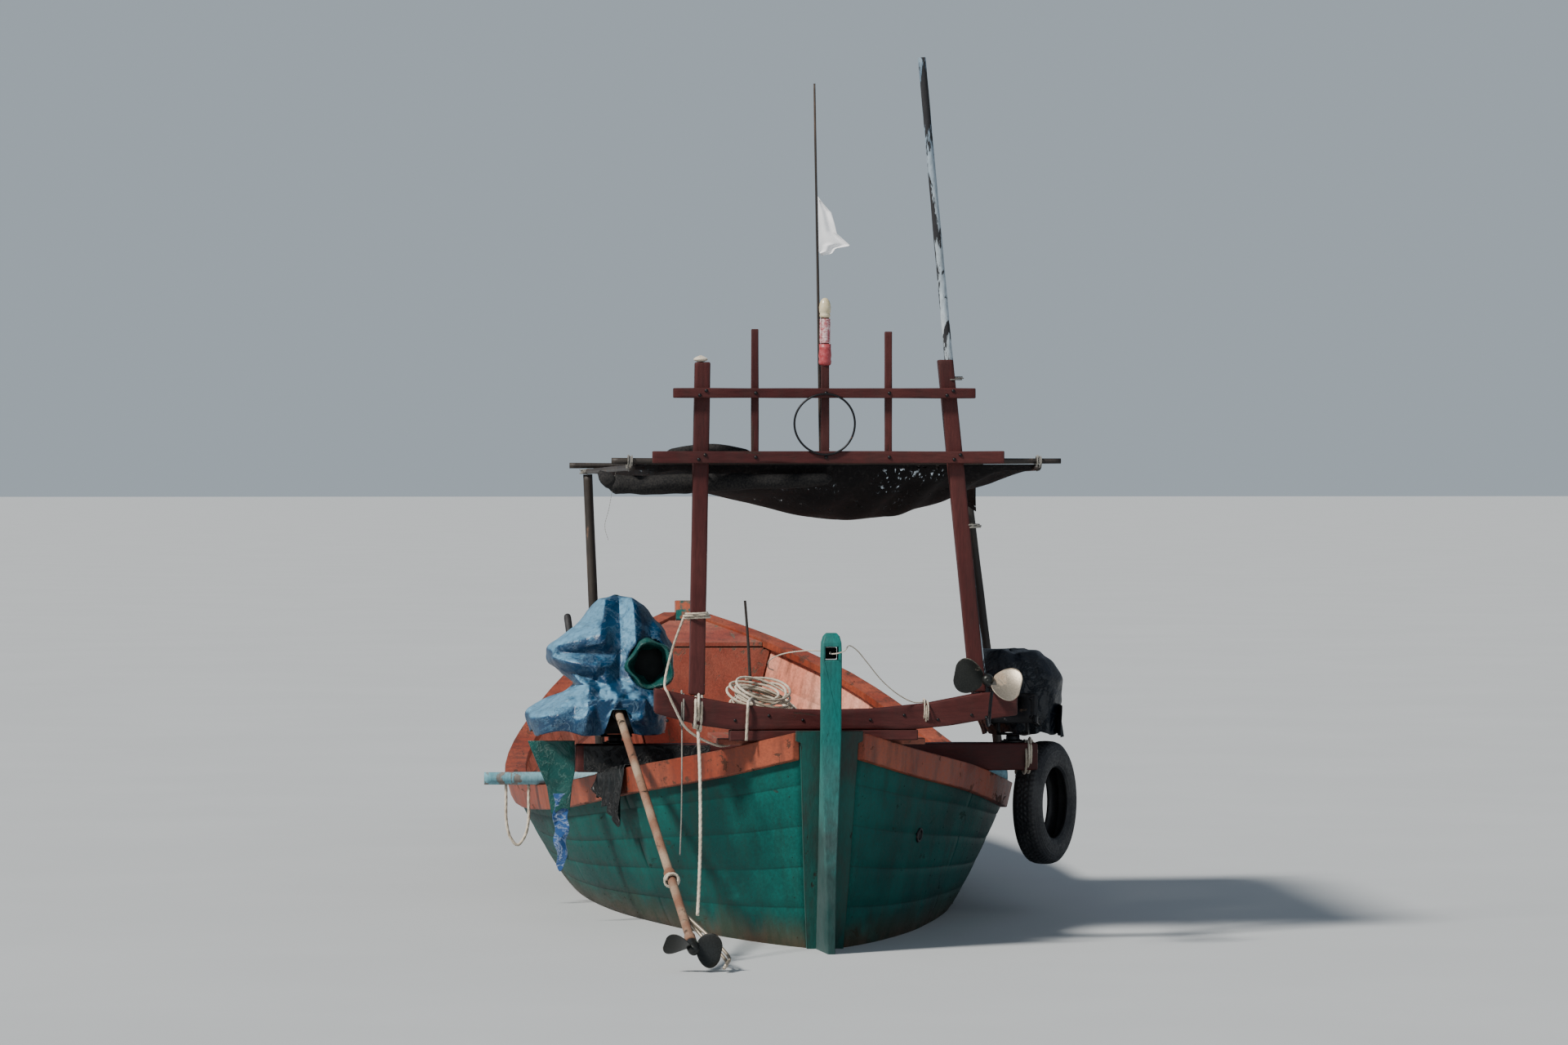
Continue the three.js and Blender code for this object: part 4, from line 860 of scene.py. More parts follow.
def skin(s, t):
    """Points of the outer skin at the stations s and the girth places t: 0 at the keel, 6 at the turn of the
    bilge and 11 at the rail. The bilge is a quarter ellipse and the side flares from it."""
    s, t = np.asarray(s, float)[:, None], np.asarray(t, float)[None, :]
    angle = np.clip(t, 0, 6) / 6 * np.pi / 2
    f = np.clip((t - 6) / 5, 0, 1)
    turn_half, turn_z = column("turn_half", s), column("turn_z", s)
    rail_half, rail_z = column("rail_half", s), column("rail_z", s) - CAP_HEIGHT
    low_y = KEEL_SIDE + (turn_half - KEEL_SIDE) * np.sin(angle)
    low_z = turn_z - (turn_z - column("keel_z", s)) * np.cos(angle)
    y = np.where(t < 6, low_y, turn_half + (rail_half - turn_half) * flare(f))
    z = np.where(t < 6, low_z, turn_z + (rail_z - turn_z) * f)
    return surface(fore(s + rake(z, s)), y, z)


def plank_rows(groove):
    """Girth places of the planks' rows, with the plank's number and the seam mark of each. A groove takes up
    that share of a strake on each side of its seam."""
    rows, numbers, seams = [], [], []
    for k in range(STRAKES):
        places = [k + groove, k + 0.25, k + 0.5, k + 0.75, k + 1 - groove]
        rows += places + [k + 1]
        numbers += [k] * 6
        seams += [0] * 5 + [1]
    rows, numbers, seams = [0.0] + rows, [0] + numbers, [0] + seams
    seams[-1] = 0
    return np.array(rows), np.array(numbers), np.array(seams, float)


BUTTS = np.array([1.47, 2.72, 4.1, 5.42, 6.75, 7.9])
STRAKES = 11
SEAM_SHARE = 0.035
BUTT_HALF = 0.005
CUP = 0.0016


def build_planks(settings):
    """Carvel planks: each strake a little cupped, with grooves at the seams and at butts that alternate."""
    t, number, seam = plank_rows(SEAM_SHARE)
    near = np.concatenate([BUTTS - BUTT_HALF, BUTTS, BUTTS + BUTT_HALF])
    even = [np.linspace(0.05, 1.4, 28), np.linspace(1.5, 9.06, 100)]
    s = np.unique(np.round(np.concatenate([*even, near]), 4))
    outer = skin(s, t)
    normal = -grid_normals(outer)
    at_butt = np.isin(np.round(s, 4), np.round(BUTTS, 4))
    which = np.searchsorted(BUTTS, s)
    alternate = (number[None, :] + which[:, None]) % 2 == 0
    butt = (at_butt[:, None] & alternate).astype(float)
    mark = np.maximum(seam[None, :] * np.ones((len(s), 1)), butt)
    rng = np.random.default_rng(4)
    tone = rng.random((12, len(BUTTS) + 1))[number[None, :], (which[:, None] + number[None, :] % 2) // 2]
    part = t - np.floor(np.minimum(t, 10.999))
    cup = CUP * (1 - (2 * part - 1) ** 2)[None, :]
    lift = cup + 0.0016 * waves(outer, 5.0, 8) + 0.0012 * (tone - 0.5) - settings.seam_depth * mark
    ends = np.minimum(1, np.minimum(s - s[0], s[-1] - s) / 0.05)[:, None]
    outer = outer + normal * (lift * ends)[..., None]
    inner = skin(s, t) - normal * PLANK - normal * (cup - settings.seam_depth * mark)[..., None]
    inner[..., 1] = np.maximum(inner[..., 1], KEEL_SIDE)
    for side, turn in SIDES:
        marks = {"seam": (mark, mark), "plank": (tone, 1 - tone), "inside": (mark * 0, mark * 0 + 1)}
        obj = two_faced(f"planks_{side}", outer * turn, inner * turn, "hull", "hull", marks)
        stand_in(obj, f"planking_{side}")


def stud_mesh(name, places, normals, radius, height, material, body="hull"):
    """Low domes, as nail and bolt heads, at places with their outward normals."""
    places, normals = np.asarray(places, float), np.asarray(normals, float)
    normals = normals / np.linalg.norm(normals, axis=1, keepdims=True)
    helper = np.where(np.abs(normals[:, 2:3]) < 0.8, [[0, 0, 1.0]], [[1.0, 0, 0]])
    u = np.cross(normals, helper)
    u = u / np.linalg.norm(u, axis=1, keepdims=True)
    v = np.cross(normals, u)
    angle = round_turn(10)
    rings = []
    for r, h in ((1.0, -0.4), (1.0, 0.25), (0.7, 0.8)):
        ring = places[:, None] + radius * r * (np.cos(angle)[None, :, None] * u[:, None]
                                               + np.sin(angle)[None, :, None] * v[:, None])
        rings.append(ring + normals[:, None] * height * h)
    tip = (places + normals * height)[:, None]
    points = np.concatenate(rings + [tip], axis=1)
    base = grid_faces(3, 10, wrap=True)
    base += [[20 + j, 20 + (j + 1) % 10, 30] for j in range(10)]
    base.append(list(range(10))[::-1])
    faces = [[i * 31 + c for c in f] for i in range(len(places)) for f in base]
    return make_object(name, points, faces, material, body)


def on_skin(s, z):
    """The point of the port outer skin at one station and height, with its outward direction."""
    t = np.linspace(6.05, 10.95, 400)
    grid = skin(np.array([s - 0.01, s, s + 0.01]), t)
    k = int(np.argmin(np.abs(grid[1, :, 2] - z)))
    return grid[1, k], -grid_normals(grid)[1, k]


def build_outlet():
    """The bilge outlet in the starboard quarter, a short iron pipe whose bore is closed a little inside by a
    black disc: painted shade.
    """
    spot, way = on_skin(0.78, 0.46)
    turn = SIDES[1][1]
    rim = [(0.021, 0.003), (0.024, 0.0085), (0.031, 0.0085), (0.034, 0.005), (0.034, -0.006),
           (0.021, -0.006)]
    lathe("outlet_rim", rim, spot * turn, way * turn, "steel", "hull", 0.0006, 5, 28, ring=True)
    # Painted shade: a black disc just inside the rim stands for the dark of the bore.
    bore = [(0.001, 0.0032), (0.0208, 0.0032), (0.0208, -0.004), (0.001, -0.004)]
    lathe("outlet_bore_shade", bore, spot * turn, way * turn, "dark", "hull", 0, 5, 28)


def build_fastenings():
    """Nail heads over the frames on the planks and along the rail caps."""
    t = np.array([k + d for k in range(4, 11) for d in (0.25, 0.75)])
    s = np.concatenate([[0.13, 0.5], RIBS])
    grid = skin(s, t)
    normal = -grid_normals(skin(np.concatenate([s - 0.01, s + 0.01]).reshape(2, -1).T.ravel(), t))[::2]
    places, normals = (grid + normal * 0.0012).reshape(-1, 3), normal.reshape(-1, 3)
    caps = np.concatenate([np.arange(0.3, 8.9, 0.31), np.arange(0.33, 8.9, 0.31)])
    cap_in = np.repeat([0.015, -0.045], [len(caps) // 2, len(caps) - len(caps) // 2])
    top = column("rail_z", caps)
    on_cap = surface(fore(caps + rake(top, caps)), column("rail_half", caps) + cap_in, top + 0.0005)
    places = np.concatenate([places, on_cap])
    normals = np.concatenate([normals, np.tile([0, 0, 1.0], (len(caps), 1))])
    count = len(caps)
    groups = {"plank": (slice(0, -count), 0.0038, 0.001, "hull"),
              "cap": (slice(-count, None), 0.0042, 0.0012, "cap")}
    for side, turn in SIDES:
        for name, (part, *looks) in groups.items():
            stud_mesh(f"{name}_nails_{side}", places[part] * turn, normals[part] * turn, *looks)


# ---------------------------------------------------------------- bars and poles


def rounded_section(wide, high, radius, corner=3, side=4):
    """Outline of a rectangle with round corners, and the outward direction at each of its points."""
    points, out = [], []
    for k in range(4):
        a0 = k * np.pi / 2
        sx, sy = ((1, 1), (-1, 1), (-1, -1), (1, -1))[k]
        centre = np.array([sx * (wide / 2 - radius), sy * (high / 2 - radius)])
        for a in np.linspace(a0, a0 + np.pi / 2, corner):
            points.append(centre + radius * np.array([np.cos(a), np.sin(a)]))
            out.append([np.cos(a), np.sin(a)])
        a = a0 + np.pi / 2
        ahead = ((-1, 1), (-1, -1), (1, -1), (1, 1))[k]
        to = np.array([ahead[0] * (wide / 2 - radius), ahead[1] * (high / 2 - radius)])
        start = points[-1]
        stop = to + radius * np.array([np.cos(a), np.sin(a)])
        for f in np.arange(1, side + 1) / (side + 1):
            points.append(start + (stop - start) * f)
            out.append([np.cos(a), np.sin(a)])
    return np.array(points), np.array(out)


def bar(name, centres, sizes, axes, material, body="hull", radius=0.005, rough=0.0016, seed=1):
    """A hand-sawn bar along centres, with the section sizes at each of them and the section's two
    directions. Its faces wave a little, its corners are knocked here and there, and its ends are eased."""
    centres, sizes = np.asarray(centres, float), np.asarray(sizes, float)
    u, v = np.asarray(axes[0], float), np.asarray(axes[1], float)
    along = running(centres)
    place = np.unique(np.concatenate([np.linspace(0, along[-1], max(6, int(along[-1] / 0.022))),
                                      [radius * 0.4, radius, along[-1] - radius, along[-1] - radius * 0.4]]))
    mid = np.stack([np.interp(place, along, centres[:, k]) for k in range(3)], axis=1)
    size = np.stack([np.interp(place, along, sizes[:, k]) for k in range(2)], axis=1)
    from_end = np.minimum(place, along[-1] - place)
    inset = radius * (1 - np.sqrt(np.clip(1 - (1 - np.clip(from_end / radius, 0, 1)) ** 2, 0, 1)))
    rings = []
    for k in range(len(place)):
        shape, out = rounded_section(size[k, 0], size[k, 1], radius)
        flat = shape - out * inset[k]
        rings.append(mid[k] + flat[:, :1] * u + flat[:, 1:] * v)
    rings = np.array(rings)
    push = out[:, :1] * u + out[:, 1:] * v
    corner = (np.abs(out[:, 0] * out[:, 1]) > 0.3).astype(float)
    knock = np.clip(crumple(rings, 9.0, seed + 50, 3) - 0.62, 0, 1) * 0.02 * corner[None, :]
    depth = rough * waves(rings, 14.0, seed) - rough - np.minimum(knock, 0.004)
    rings = rings + push[None] * depth[..., None]
    return make_object(name, rings, tube_faces(*rings.shape[:2]), material, body)


def straight_bar(name, start, end, size, axes, material, body="hull", radius=0.005, seed=1):
    """A bar of one section between two points."""
    return bar(name, [start, end], [size, size], axes, material, body, radius, 0.0014, seed)


def pole(name, start, end, r0, r1, material, body="hull", seed=1, wander=0.004, knots=0.0012):
    """A round pole, a little crooked and knotty, that keeps its two ends."""
    start, end = np.asarray(start, float), np.asarray(end, float)
    length = np.linalg.norm(end - start)
    t = np.linspace(0, 1, max(12, int(length / 0.03)))[:, None]
    rng = np.random.default_rng(seed)
    path = start + (end - start) * t
    for k in range(1, 4):
        path = path + np.sin(np.pi * k * t) * rng.normal(size=3) * wander / k**1.5
    points, faces, mid, out = round_tube(path, 16, (r0, r1))
    radius = np.linalg.norm(out, axis=1, keepdims=True)
    shape = knots * waves(points, 16.0, seed)[:, None] - knots
    return make_object(name, mid + out / radius * (radius + shape), faces, material, body)


def build_stern_works():
    """The yoke, the gallows' posts, crossbars and uprights, with their bolts, wraps and the lamp."""
    red_a, red_u = "red_across", "red_upright"
    top = np.array([[0.745, 1.145], [0.6, 1.112], [0.42, 1.078], [0.22, 1.053], [0, 1.044], [-0.22, 1.05],
                    [-0.45, 1.072], [-0.7, 1.12], [-0.855, 1.12]])[::-1]
    low = np.array([[-0.855, 1.016], [-0.7, 0.996], [-0.56, 0.972], [-0.4, 0.9563], [0.4, 0.9563],
                    [0.54, 0.976], [0.745, 1.03]])
    y = np.linspace(-0.855, 0.745, 60)
    upper, lower = np.interp(y, top[:, 0], top[:, 1]), np.interp(y, low[:, 0], low[:, 1])
    centres = surface(fore(0.305), y, (upper + lower) / 2)
    yoke = bar("yoke_beam", centres, np.stack([np.full_like(y, 0.09), upper - lower], axis=1),
               (X_AXIS, Z_AXIS), red_a, radius=0.008, seed=3)
    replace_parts(yoke, "yoke")
    posts = {"port": ((0.558, 1.111), (0.532, 2.57)), "starboard": ((-0.683, 1.1203), (-0.538, 2.582))}
    for k, (side, (foot, head)) in enumerate(posts.items()):
        x = fore(0.307)
        post = straight_bar(f"gallows_{side}", (x, *foot), (x, *head), (0.07, 0.07), (X_AXIS, Y_AXIS), red_u,
                            radius=0.007, seed=10 + k)
        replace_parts(post, f"gallows_post_{side}")
    bars = {"lower": (2.153, 0.056, 0.755, -0.793), "upper": (2.434, 0.046, 0.664, -0.666)}
    for k, (which, (z, high, port, star)) in enumerate(bars.items()):
        x = fore(0.2547)
        obj = straight_bar(f"crossbar_{which}_bar", (x, star, z), (x, port, z), (0.034, high),
                           (X_AXIS, Z_AXIS), red_a, radius=0.004, seed=20 + k)
        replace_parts(obj, f"crossbar_{which}")
    uprights = {"upright_port": (0.303, 2.715, 0.034), "lamp_post": (-0.006, 2.765, 0.038),
                "upright_starboard": (-0.285, 2.705, 0.034)}
    for k, (node, (y0, high, size)) in enumerate(uprights.items()):
        x = fore(0.272 + size / 2)
        obj = straight_bar(f"{node}_bar", (x, y0, 2.125), (x, y0, high), (size, size), (X_AXIS, Y_AXIS),
                           red_u, radius=0.004, seed=30 + k)
        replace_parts(obj, node)
    post_y = {2.153: (0.539, -0.585), 2.434: (0.534, -0.553)}
    places = [(fore(0.2377), y0 + dy, z + dz) for z, pair in post_y.items() for y0 in pair
              for dy, dz in ((-0.014, 0.01), (0.014, -0.01))]
    places += [(fore(0.2377), y0, z) for z in post_y for y0 in (0.303, -0.006, -0.285)]
    stud_mesh("gallows_bolts", places, np.tile([-1.0, 0, 0], (len(places), 1)), 0.008, 0.006, "steel")
    nails = [(fore(0.26), y0, 1.0 + 0.02 * (k % 2)) for k, y0 in enumerate(np.linspace(-0.8, 0.69, 11))]
    stud_mesh("yoke_bolts", nails, np.tile([-1.0, 0, 0], (len(nails), 1)), 0.007, 0.004, "steel")
    # Painted shade: a black plate fills the stern post's slot, where its inside lies in shade.
    edge = ray_lengths(0.0255, 0.0255, 0.0275, 0.0275, 48)
    slot_shade = plate_with_bore("post_slot_shade", edge, 0.0048, -0.005, 0.005, (fore(-0.01), 0, 1.303),
                             X_AXIS, "dark")
    build_lamp()
    turns = np.linspace(0, 1, 30)
    cap = np.stack([0.028 * np.sin(np.pi * turns**0.8) + 0.002, 0.03 * turns], axis=1)
    lathe("post_cap_wrap", cap, (fore(0.3), 0.54, 2.5695), Z_AXIS, "rope", "hull", 0.004, 7)


def lathe(name, profile, origin, axis, material, body="hull", rough=0.0, seed=1, sides=32, ring=False):
    """A body turned about an axis from rows of radius and height, with some unevenness. With ring, the last
    row joins the first and a bore stays open. A radius may also be an array with one for each angle."""
    axis = np.asarray(axis, float)
    helper = X_AXIS if abs(axis[0]) < 0.8 else Y_AXIS
    u = np.cross(axis, helper)
    u = u / np.linalg.norm(u)
    v = np.cross(axis, u)
    a = round_turn(sides)
    r = np.array([np.broadcast_to(row[0], sides) for row in profile], float)
    h = np.array([row[1] for row in profile], float)[:, None]
    out = np.cos(a)[:, None] * u + np.sin(a)[:, None] * v
    points = np.asarray(origin, float) + r[..., None] * out[None] + h[..., None] * axis
    points = points + out[None] * (rough * waves(points, 45.0, seed))[..., None]
    return make_object(name, points, tube_faces(len(h), sides, ring), material, body)


def build_lamp():
    """The lamp in its cup, and the tape wound round the head of its post."""
    x, y = fore(0.291), -0.006
    glass = [(0.004, 0.0), (0.02, 0.0), (0.0235, 0.006), (0.0235, 0.014), (0.021, 0.018), (0.025, 0.024),
             (0.0262, 0.045), (0.024, 0.06), (0.019, 0.074), (0.011, 0.084), (0.002, 0.0875)]
    lamp = lathe("lamp_glass", glass, (x, y, 2.7653), Z_AXIS, "lamp", "hull", 0.0006, 3)
    stand_in(lamp, "lamp")
    wraps = []
    for k in range(60):
        z = 2.655 + 0.105 * k / 59
        wraps.append((0.0232 + 0.0007 * math.sin(k * 1.9) + 0.001 * (k % 7 == 0), z))
    # Red tape with pale mottling, partly painted highlight.
    lathe("lamp_post_tape", wraps, (x, y, 0), Z_AXIS, "tape_pale", "hull", 0.001, 5, 24)
    lump = [(0.021, 2.556), (0.0265, 2.562), (0.0285, 2.572), (0.026, 2.584), (0.0285, 2.598),
            (0.027, 2.612), (0.0255, 2.63), (0.0262, 2.65)]
    lathe("lamp_post_knot", lump, (x, y, 0), Z_AXIS, "tape", "hull", 0.002, 6, 24)


# ---------------------------------------------------------------- canopy


NET_FROM, NET_TO, POLES_FROM, POLES_TO = 0.452, 3.34, 0.372, 3.46
POLE_AFT_Z, POLE_FORE_Z = 2.121, 2.103
CANOPY_X = -1.1
CANOPY_Y = {"port": 0.872, "starboard": -1.0}


def net_edge(s, y):
    """The middle of a side pole as y and z, for the side whose canopy post stands at y."""
    f = (s - POLES_FROM) / (POLES_TO - POLES_FROM)
    return y * (0.96 + 0.04 * f), POLE_AFT_Z + (POLE_FORE_Z - POLE_AFT_Z) * f - 0.014


def build_canopy():
    """Poles and posts of the canopy with their lashings, and the black shade net."""
    upright, along = "dark_upright", "dark_along"
    x = fore(0.412)
    pieces = {
        "canopy_pole_aft": ((x, 0.925, 2.137), (x, -1.066, 2.137), 0.016, 0.014, upright),
        "canopy_post_port": ((CANOPY_X, 0.785, 0.127), (CANOPY_X, 0.872, 2.075), 0.025, 0.024, upright),
        "canopy_post_starboard": ((CANOPY_X, -1.185, 0.553), (CANOPY_X, -1.0, 2.075), 0.025, 0.024, upright),
        "canopy_pole_fore": ((CANOPY_X, 0.962, 2.1187), (CANOPY_X, -1.09, 2.1187), 0.015, 0.015, upright),
    }
    for side, y in CANOPY_Y.items():
        ends = [(fore(s), *net_edge(s, y)) for s in (POLES_FROM, POLES_TO)]
        pieces[f"canopy_pole_{side}"] = (*ends, 0.014, 0.014, along)
    for k, (node, (a, b, r0, r1, material)) in enumerate(pieces.items()):
        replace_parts(pole(f"{node}_wood", a, b, r0, r1, material, seed=40 + k, wander=0.0025), node)
    for k, (y, z) in enumerate(((0.845, 2.128), (-0.965, 2.128), (0.54, 2.14), (-0.588, 2.14))):
        spot = (x + (0.0 if k < 2 else -0.03), y, z)
        knot(f"canopy_lashing_{k}", spot, (0.085, 0.062), 0.006, "grey_rope", turns=4, axis="y", seed=k)
    for k, y in enumerate(CANOPY_Y.values()):
        knot(f"canopy_fore_lashing_{k}", (CANOPY_X, y, 2.09), (0.068, 0.07), 0.006, "grey_rope", turns=4,
             seed=9 + k)
    build_net()
    line = aboard([(0.41, 0.9, 2.119), (0.408, 0.915, 2.05), (0.405, 0.936, 1.93), (0.405, 0.955, 1.85),
                   (0.405, 0.94, 1.79)])
    thread, path = rope("port_corner_thread", line, 0.0035, "grey_rope", step=0.012)


def build_net():
    """One net between the side poles: it sags most to starboard, its after edge to port is rolled up in a
    thick bunch, and its forward starboard corner is drawn down along the post."""
    a, b = down(120) ** 1.6, across(130)
    s = NET_FROM + (NET_TO - NET_FROM) * a
    port_y, port_z = net_edge(s, CANOPY_Y["port"])
    star_y, star_z = net_edge(s, CANOPY_Y["starboard"])
    y, z = port_y + (star_y - port_y) * b, port_z + (star_z - port_z) * b - 0.008
    along = np.sin(np.pi / 2 * np.minimum(1, a / 0.25)) ** 0.8 * (1 - 0.3 * np.maximum(0, 2 * a - 1))
    z = z - 0.33 * np.sin(np.pi * b) ** 1.3 * (0.25 + 0.75 * b) * along
    head = np.maximum(0, 1 - a / 0.02)
    z = z + 0.022 * head
    s = s - 0.016 * head
    corner = np.clip((b - 0.86) / 0.14, 0, 1) ** 1.5 * np.clip((a - 0.8) / 0.2, 0, 1) ** 1.5
    z = z - 0.19 * corner
    y = y - 0.05 * corner
    p = surface(fore(s), y, z)
    edge = np.minimum(1, np.minimum(b, 1 - b) / 0.08)
    draw = np.minimum(1, a / 0.04)
    folds = 0.012 * np.sin(46 * b + 5 * np.sin(5 * a) + 2.0 * np.sin(9 * b)) * np.exp(-((a / 0.25) ** 2))
    p[..., 2] += draw * edge * (folds + 0.01 * waves(p, 6.5, 12, 8) + 0.012 * (crumple(p, 5.0, 13, 4) - 0.5))
    p[..., 0] += 0.004 * waves(p, 11.0, 14) * (1 - draw)
    obj = shell("net_sheet", p, 0.0035, "net")
    stand_in(obj, "canopy_net")
    roll = net_roll("net_roll", [(0.425, 0.94, 2.035), (0.425, 0.8, 2.032), (0.43, 0.6, 2.04),
                                 (0.43, 0.35, 2.046), (0.43, 0.12, 2.05), (0.44, -0.05, 2.06)],
                    (0.052, 0.03), 21)
    hump = net_roll("net_hump", [(0.425, 0.69, 2.163), (0.43, 0.56, 2.186), (0.43, 0.44, 2.19),
                                 (0.428, 0.3, 2.165)],
                    (0.026, 0.02), 22)
    hang = net_roll("net_corner", [(0.425, 0.98, 2.09), (0.42, 0.95, 2.06), (0.42, 0.9, 2.03)],
                    (0.03, 0.045), 23)


def net_roll(name, points, radii, seed):
    """A rolled or bunched length of net: a tube whose section is lumpy and folded."""
    path = smooth_path(aboard(points), 0.012)
    sides = 40
    co, faces, mid, out = round_tube(path, sides, radii)
    lumps = 0.22 * waves(co, 17.0, seed, 6) + 0.3 * (crumple(co, 16.0, seed + 1, 5) - 0.55)
    ends = np.minimum(1, np.minimum(np.arange(len(path)), np.arange(len(path))[::-1]) / 4 + 0.35)
    co = mid + out * (1 + lumps[:, None]) * np.repeat(ends, sides)[:, None]
    return make_object(name, co, faces, "net_roll")


# ---------------------------------------------------------------- covers


def lump(name, levels, columns, seed, amounts, material, body, thickness=0.002, hem=0.012, square=3.2,
         reshape=None):
    """A cloth drawn over a lump: level by level a rounded rectangle, with folds that grow towards the hem,
    large facets and small creases. levels are rows of z, port y, starboard y, after x and forward x, from
    the top down."""
    levels = np.asarray(levels, float)
    rows = 110
    t = np.linspace(0, len(levels) - 1, rows)
    k = np.arange(len(levels))
    even = np.ones(5) / 5
    z, y_out, y_in, x_aft, x_fore = (smoothed(np.interp(t, k, row), even) for row in levels.T)
    a = np.linspace(0, 2 * np.pi, columns, endpoint=False)[None, :]
    c, s = np.cos(a), np.sin(a)
    size = 1 / (np.abs(c) ** square + np.abs(s) ** square) ** (1 / square)
    down = (np.arange(rows) / (rows - 1))[:, None]
    x = ((x_aft + x_fore) / 2)[:, None] + ((x_fore - x_aft) / 2)[:, None] * c * size
    y = ((y_out + y_in) / 2)[:, None] + ((y_out - y_in) / 2)[:, None] * s * size
    p = surface(x, y, z[:, None])
    normal = grid_normals(p, wrap=True)
    centre = p.mean(axis=(0, 1))
    if ((p - centre) * normal).sum() < 0:
        normal = -normal
    big, middle, folds = amounts
    push = big * facets(p, 11.0, seed, 5) + middle * (crumple(p, 14.0, seed + 1, 4) - 0.6) * 2
    grow = np.clip((down - 0.45) / 0.55, 0, 1)
    push = push + folds * grow * np.sin(a * 11 + 2.5 * np.sin(a * 3 + seed) + 3 * down)
    p = p + normal * push[..., None]
    p[..., 2] += hem * grow**3 * np.sin(a * 7 + seed)
    top = np.clip(1 - down / 0.08, 0, 1)
    p[..., :2] = p[..., :2] * (1 - top[..., None]) + p[0, :, :2].mean(axis=0) * top[..., None]
    if reshape is not None:
        p = reshape(p)
    return shell(name, p, thickness, material, body, wrap=True), p


MOUTH_Y, MOUTH_Z = 0.668, 1.192
# Sharp folds of the port tarpaulin seen from aft: y and z of both ends, height and half width
TARP_FOLDS = np.array([
    (0.735, 1.53, 0.735, 1.24, 0.035, 0.045), (0.795, 1.52, 0.81, 1.13, -0.055, 0.07),
    (0.86, 1.5, 0.9, 1.33, 0.03, 0.07), (0.9, 1.335, 1.13, 1.275, 0.035, 0.055),
    (0.88, 1.24, 1.08, 1.25, -0.045, 0.05), (0.92, 1.185, 1.12, 1.225, 0.035, 0.04),
    (0.93, 1.12, 1.12, 1.185, -0.035, 0.035), (0.9, 1.08, 1.1, 1.15, 0.03, 0.03),
    (0.64, 1.45, 0.66, 1.3, -0.03, 0.05), (1.01, 1.11, 1.23, 0.96, 0.018, 0.05),
    (1.04, 1.055, 1.11, 1.03, -0.035, 0.045), (0.96, 1.09, 0.985, 0.9, 0.03, 0.055),
    (0.91, 1.09, 0.895, 0.95, -0.03, 0.045), (0.83, 1.07, 0.85, 1.03, 0.03, 0.04),
    (0.79, 1.055, 0.76, 0.99, -0.03, 0.045), (0.82, 0.945, 0.72, 0.95, 0.026, 0.04),
    (0.69, 1.05, 0.68, 0.95, -0.025, 0.035), (0.655, 1.06, 0.64, 0.93, 0.02, 0.03),
])


def open_port_tarp(p):
    """Folds the tarp's after face along its ridges, pushes it in where its mouth opens aft, and lifts its
    after hem over the tail tube."""
    x, y, z = p[..., 0], p[..., 1], p[..., 2]
    turn = np.linspace(0, 2 * np.pi, p.shape[1], endpoint=False)[None, :]
    aft = np.clip((-np.cos(turn) - 0.1) / 0.4, 0, 1)
    start, end = TARP_FOLDS[:, 0:2], TARP_FOLDS[:, 2:4]
    spot = np.stack([y, z], axis=2)[:, :, None, :]
    way = end - start
    part = np.clip(((spot - start) * way).sum(axis=3) / (way**2).sum(axis=1), 0, 1)
    away = np.linalg.norm(spot - start - part[..., None] * way, axis=3)
    tent = (TARP_FOLDS[:, 4] * np.clip(1 - away / TARP_FOLDS[:, 5], 0, 1)).sum(axis=2)
    x = x - aft * tent
    low = (z < 1.04) & (np.abs(y - 0.835) < 0.135) & (x < -2.8)
    x = np.where(low, np.minimum(x, -2.958), x)
    x = np.where(x < -2.8, np.maximum(x, -3.012), x)
    away = np.hypot((y - MOUTH_Y) / 0.098, (z - MOUTH_Z) / 0.11)
    deep = np.clip((1.1 - away) / 0.25, 0, 1) * (x < -2.6)
    x = x + 0.19 * deep * deep * (3 - 2 * deep)
    hem = 0.995 - 0.12 * np.clip((np.abs(y - 0.826) - 0.032) / 0.04, 0, 1)
    z = np.where(x < -2.82, np.maximum(z, hem + 0.02 * (z - 0.875)), z)
    return surface(x, y, z)


PORT_TARP = [
    (1.51, 0.85, 0.755, -2.37, -2.22), (1.49, 0.885, 0.72, -2.45, -2.19),
    (1.454, 0.925, 0.68, -2.53, -2.165), (1.353, 1.03, 0.59, -2.66, -2.14),
    (1.268, 1.13, 0.556, -2.73, -2.13), (1.21, 1.128, 0.556, -2.76, -2.13),
    (1.14, 1.06, 0.575, -2.78, -2.14), (1.095, 1.01, 0.595, -2.8, -2.15), (1.065, 1.06, 0.605, -2.86, -2.15),
    (1.03, 1.13, 0.6, -2.955, -2.15), (0.96, 1.238, 0.59, -2.985, -2.16), (0.875, 1.2, 0.585, -2.975, -2.19),
]
STARBOARD_COVER = [
    (1.247, -0.96, -1.15, -2.55, -2.25), (1.24, -0.92, -1.19, -2.6, -2.2),
    (1.2, -0.895, -1.25, -2.64, -2.17), (1.114, -0.885, -1.292, -2.665, -2.16),
    (1.012, -0.885, -1.288, -2.665, -2.16), (0.96, -0.9, -1.275, -2.66, -2.165),
    (0.9, -0.93, -1.27, -2.65, -2.17), (0.855, -0.95, -1.265, -2.64, -2.18),
]


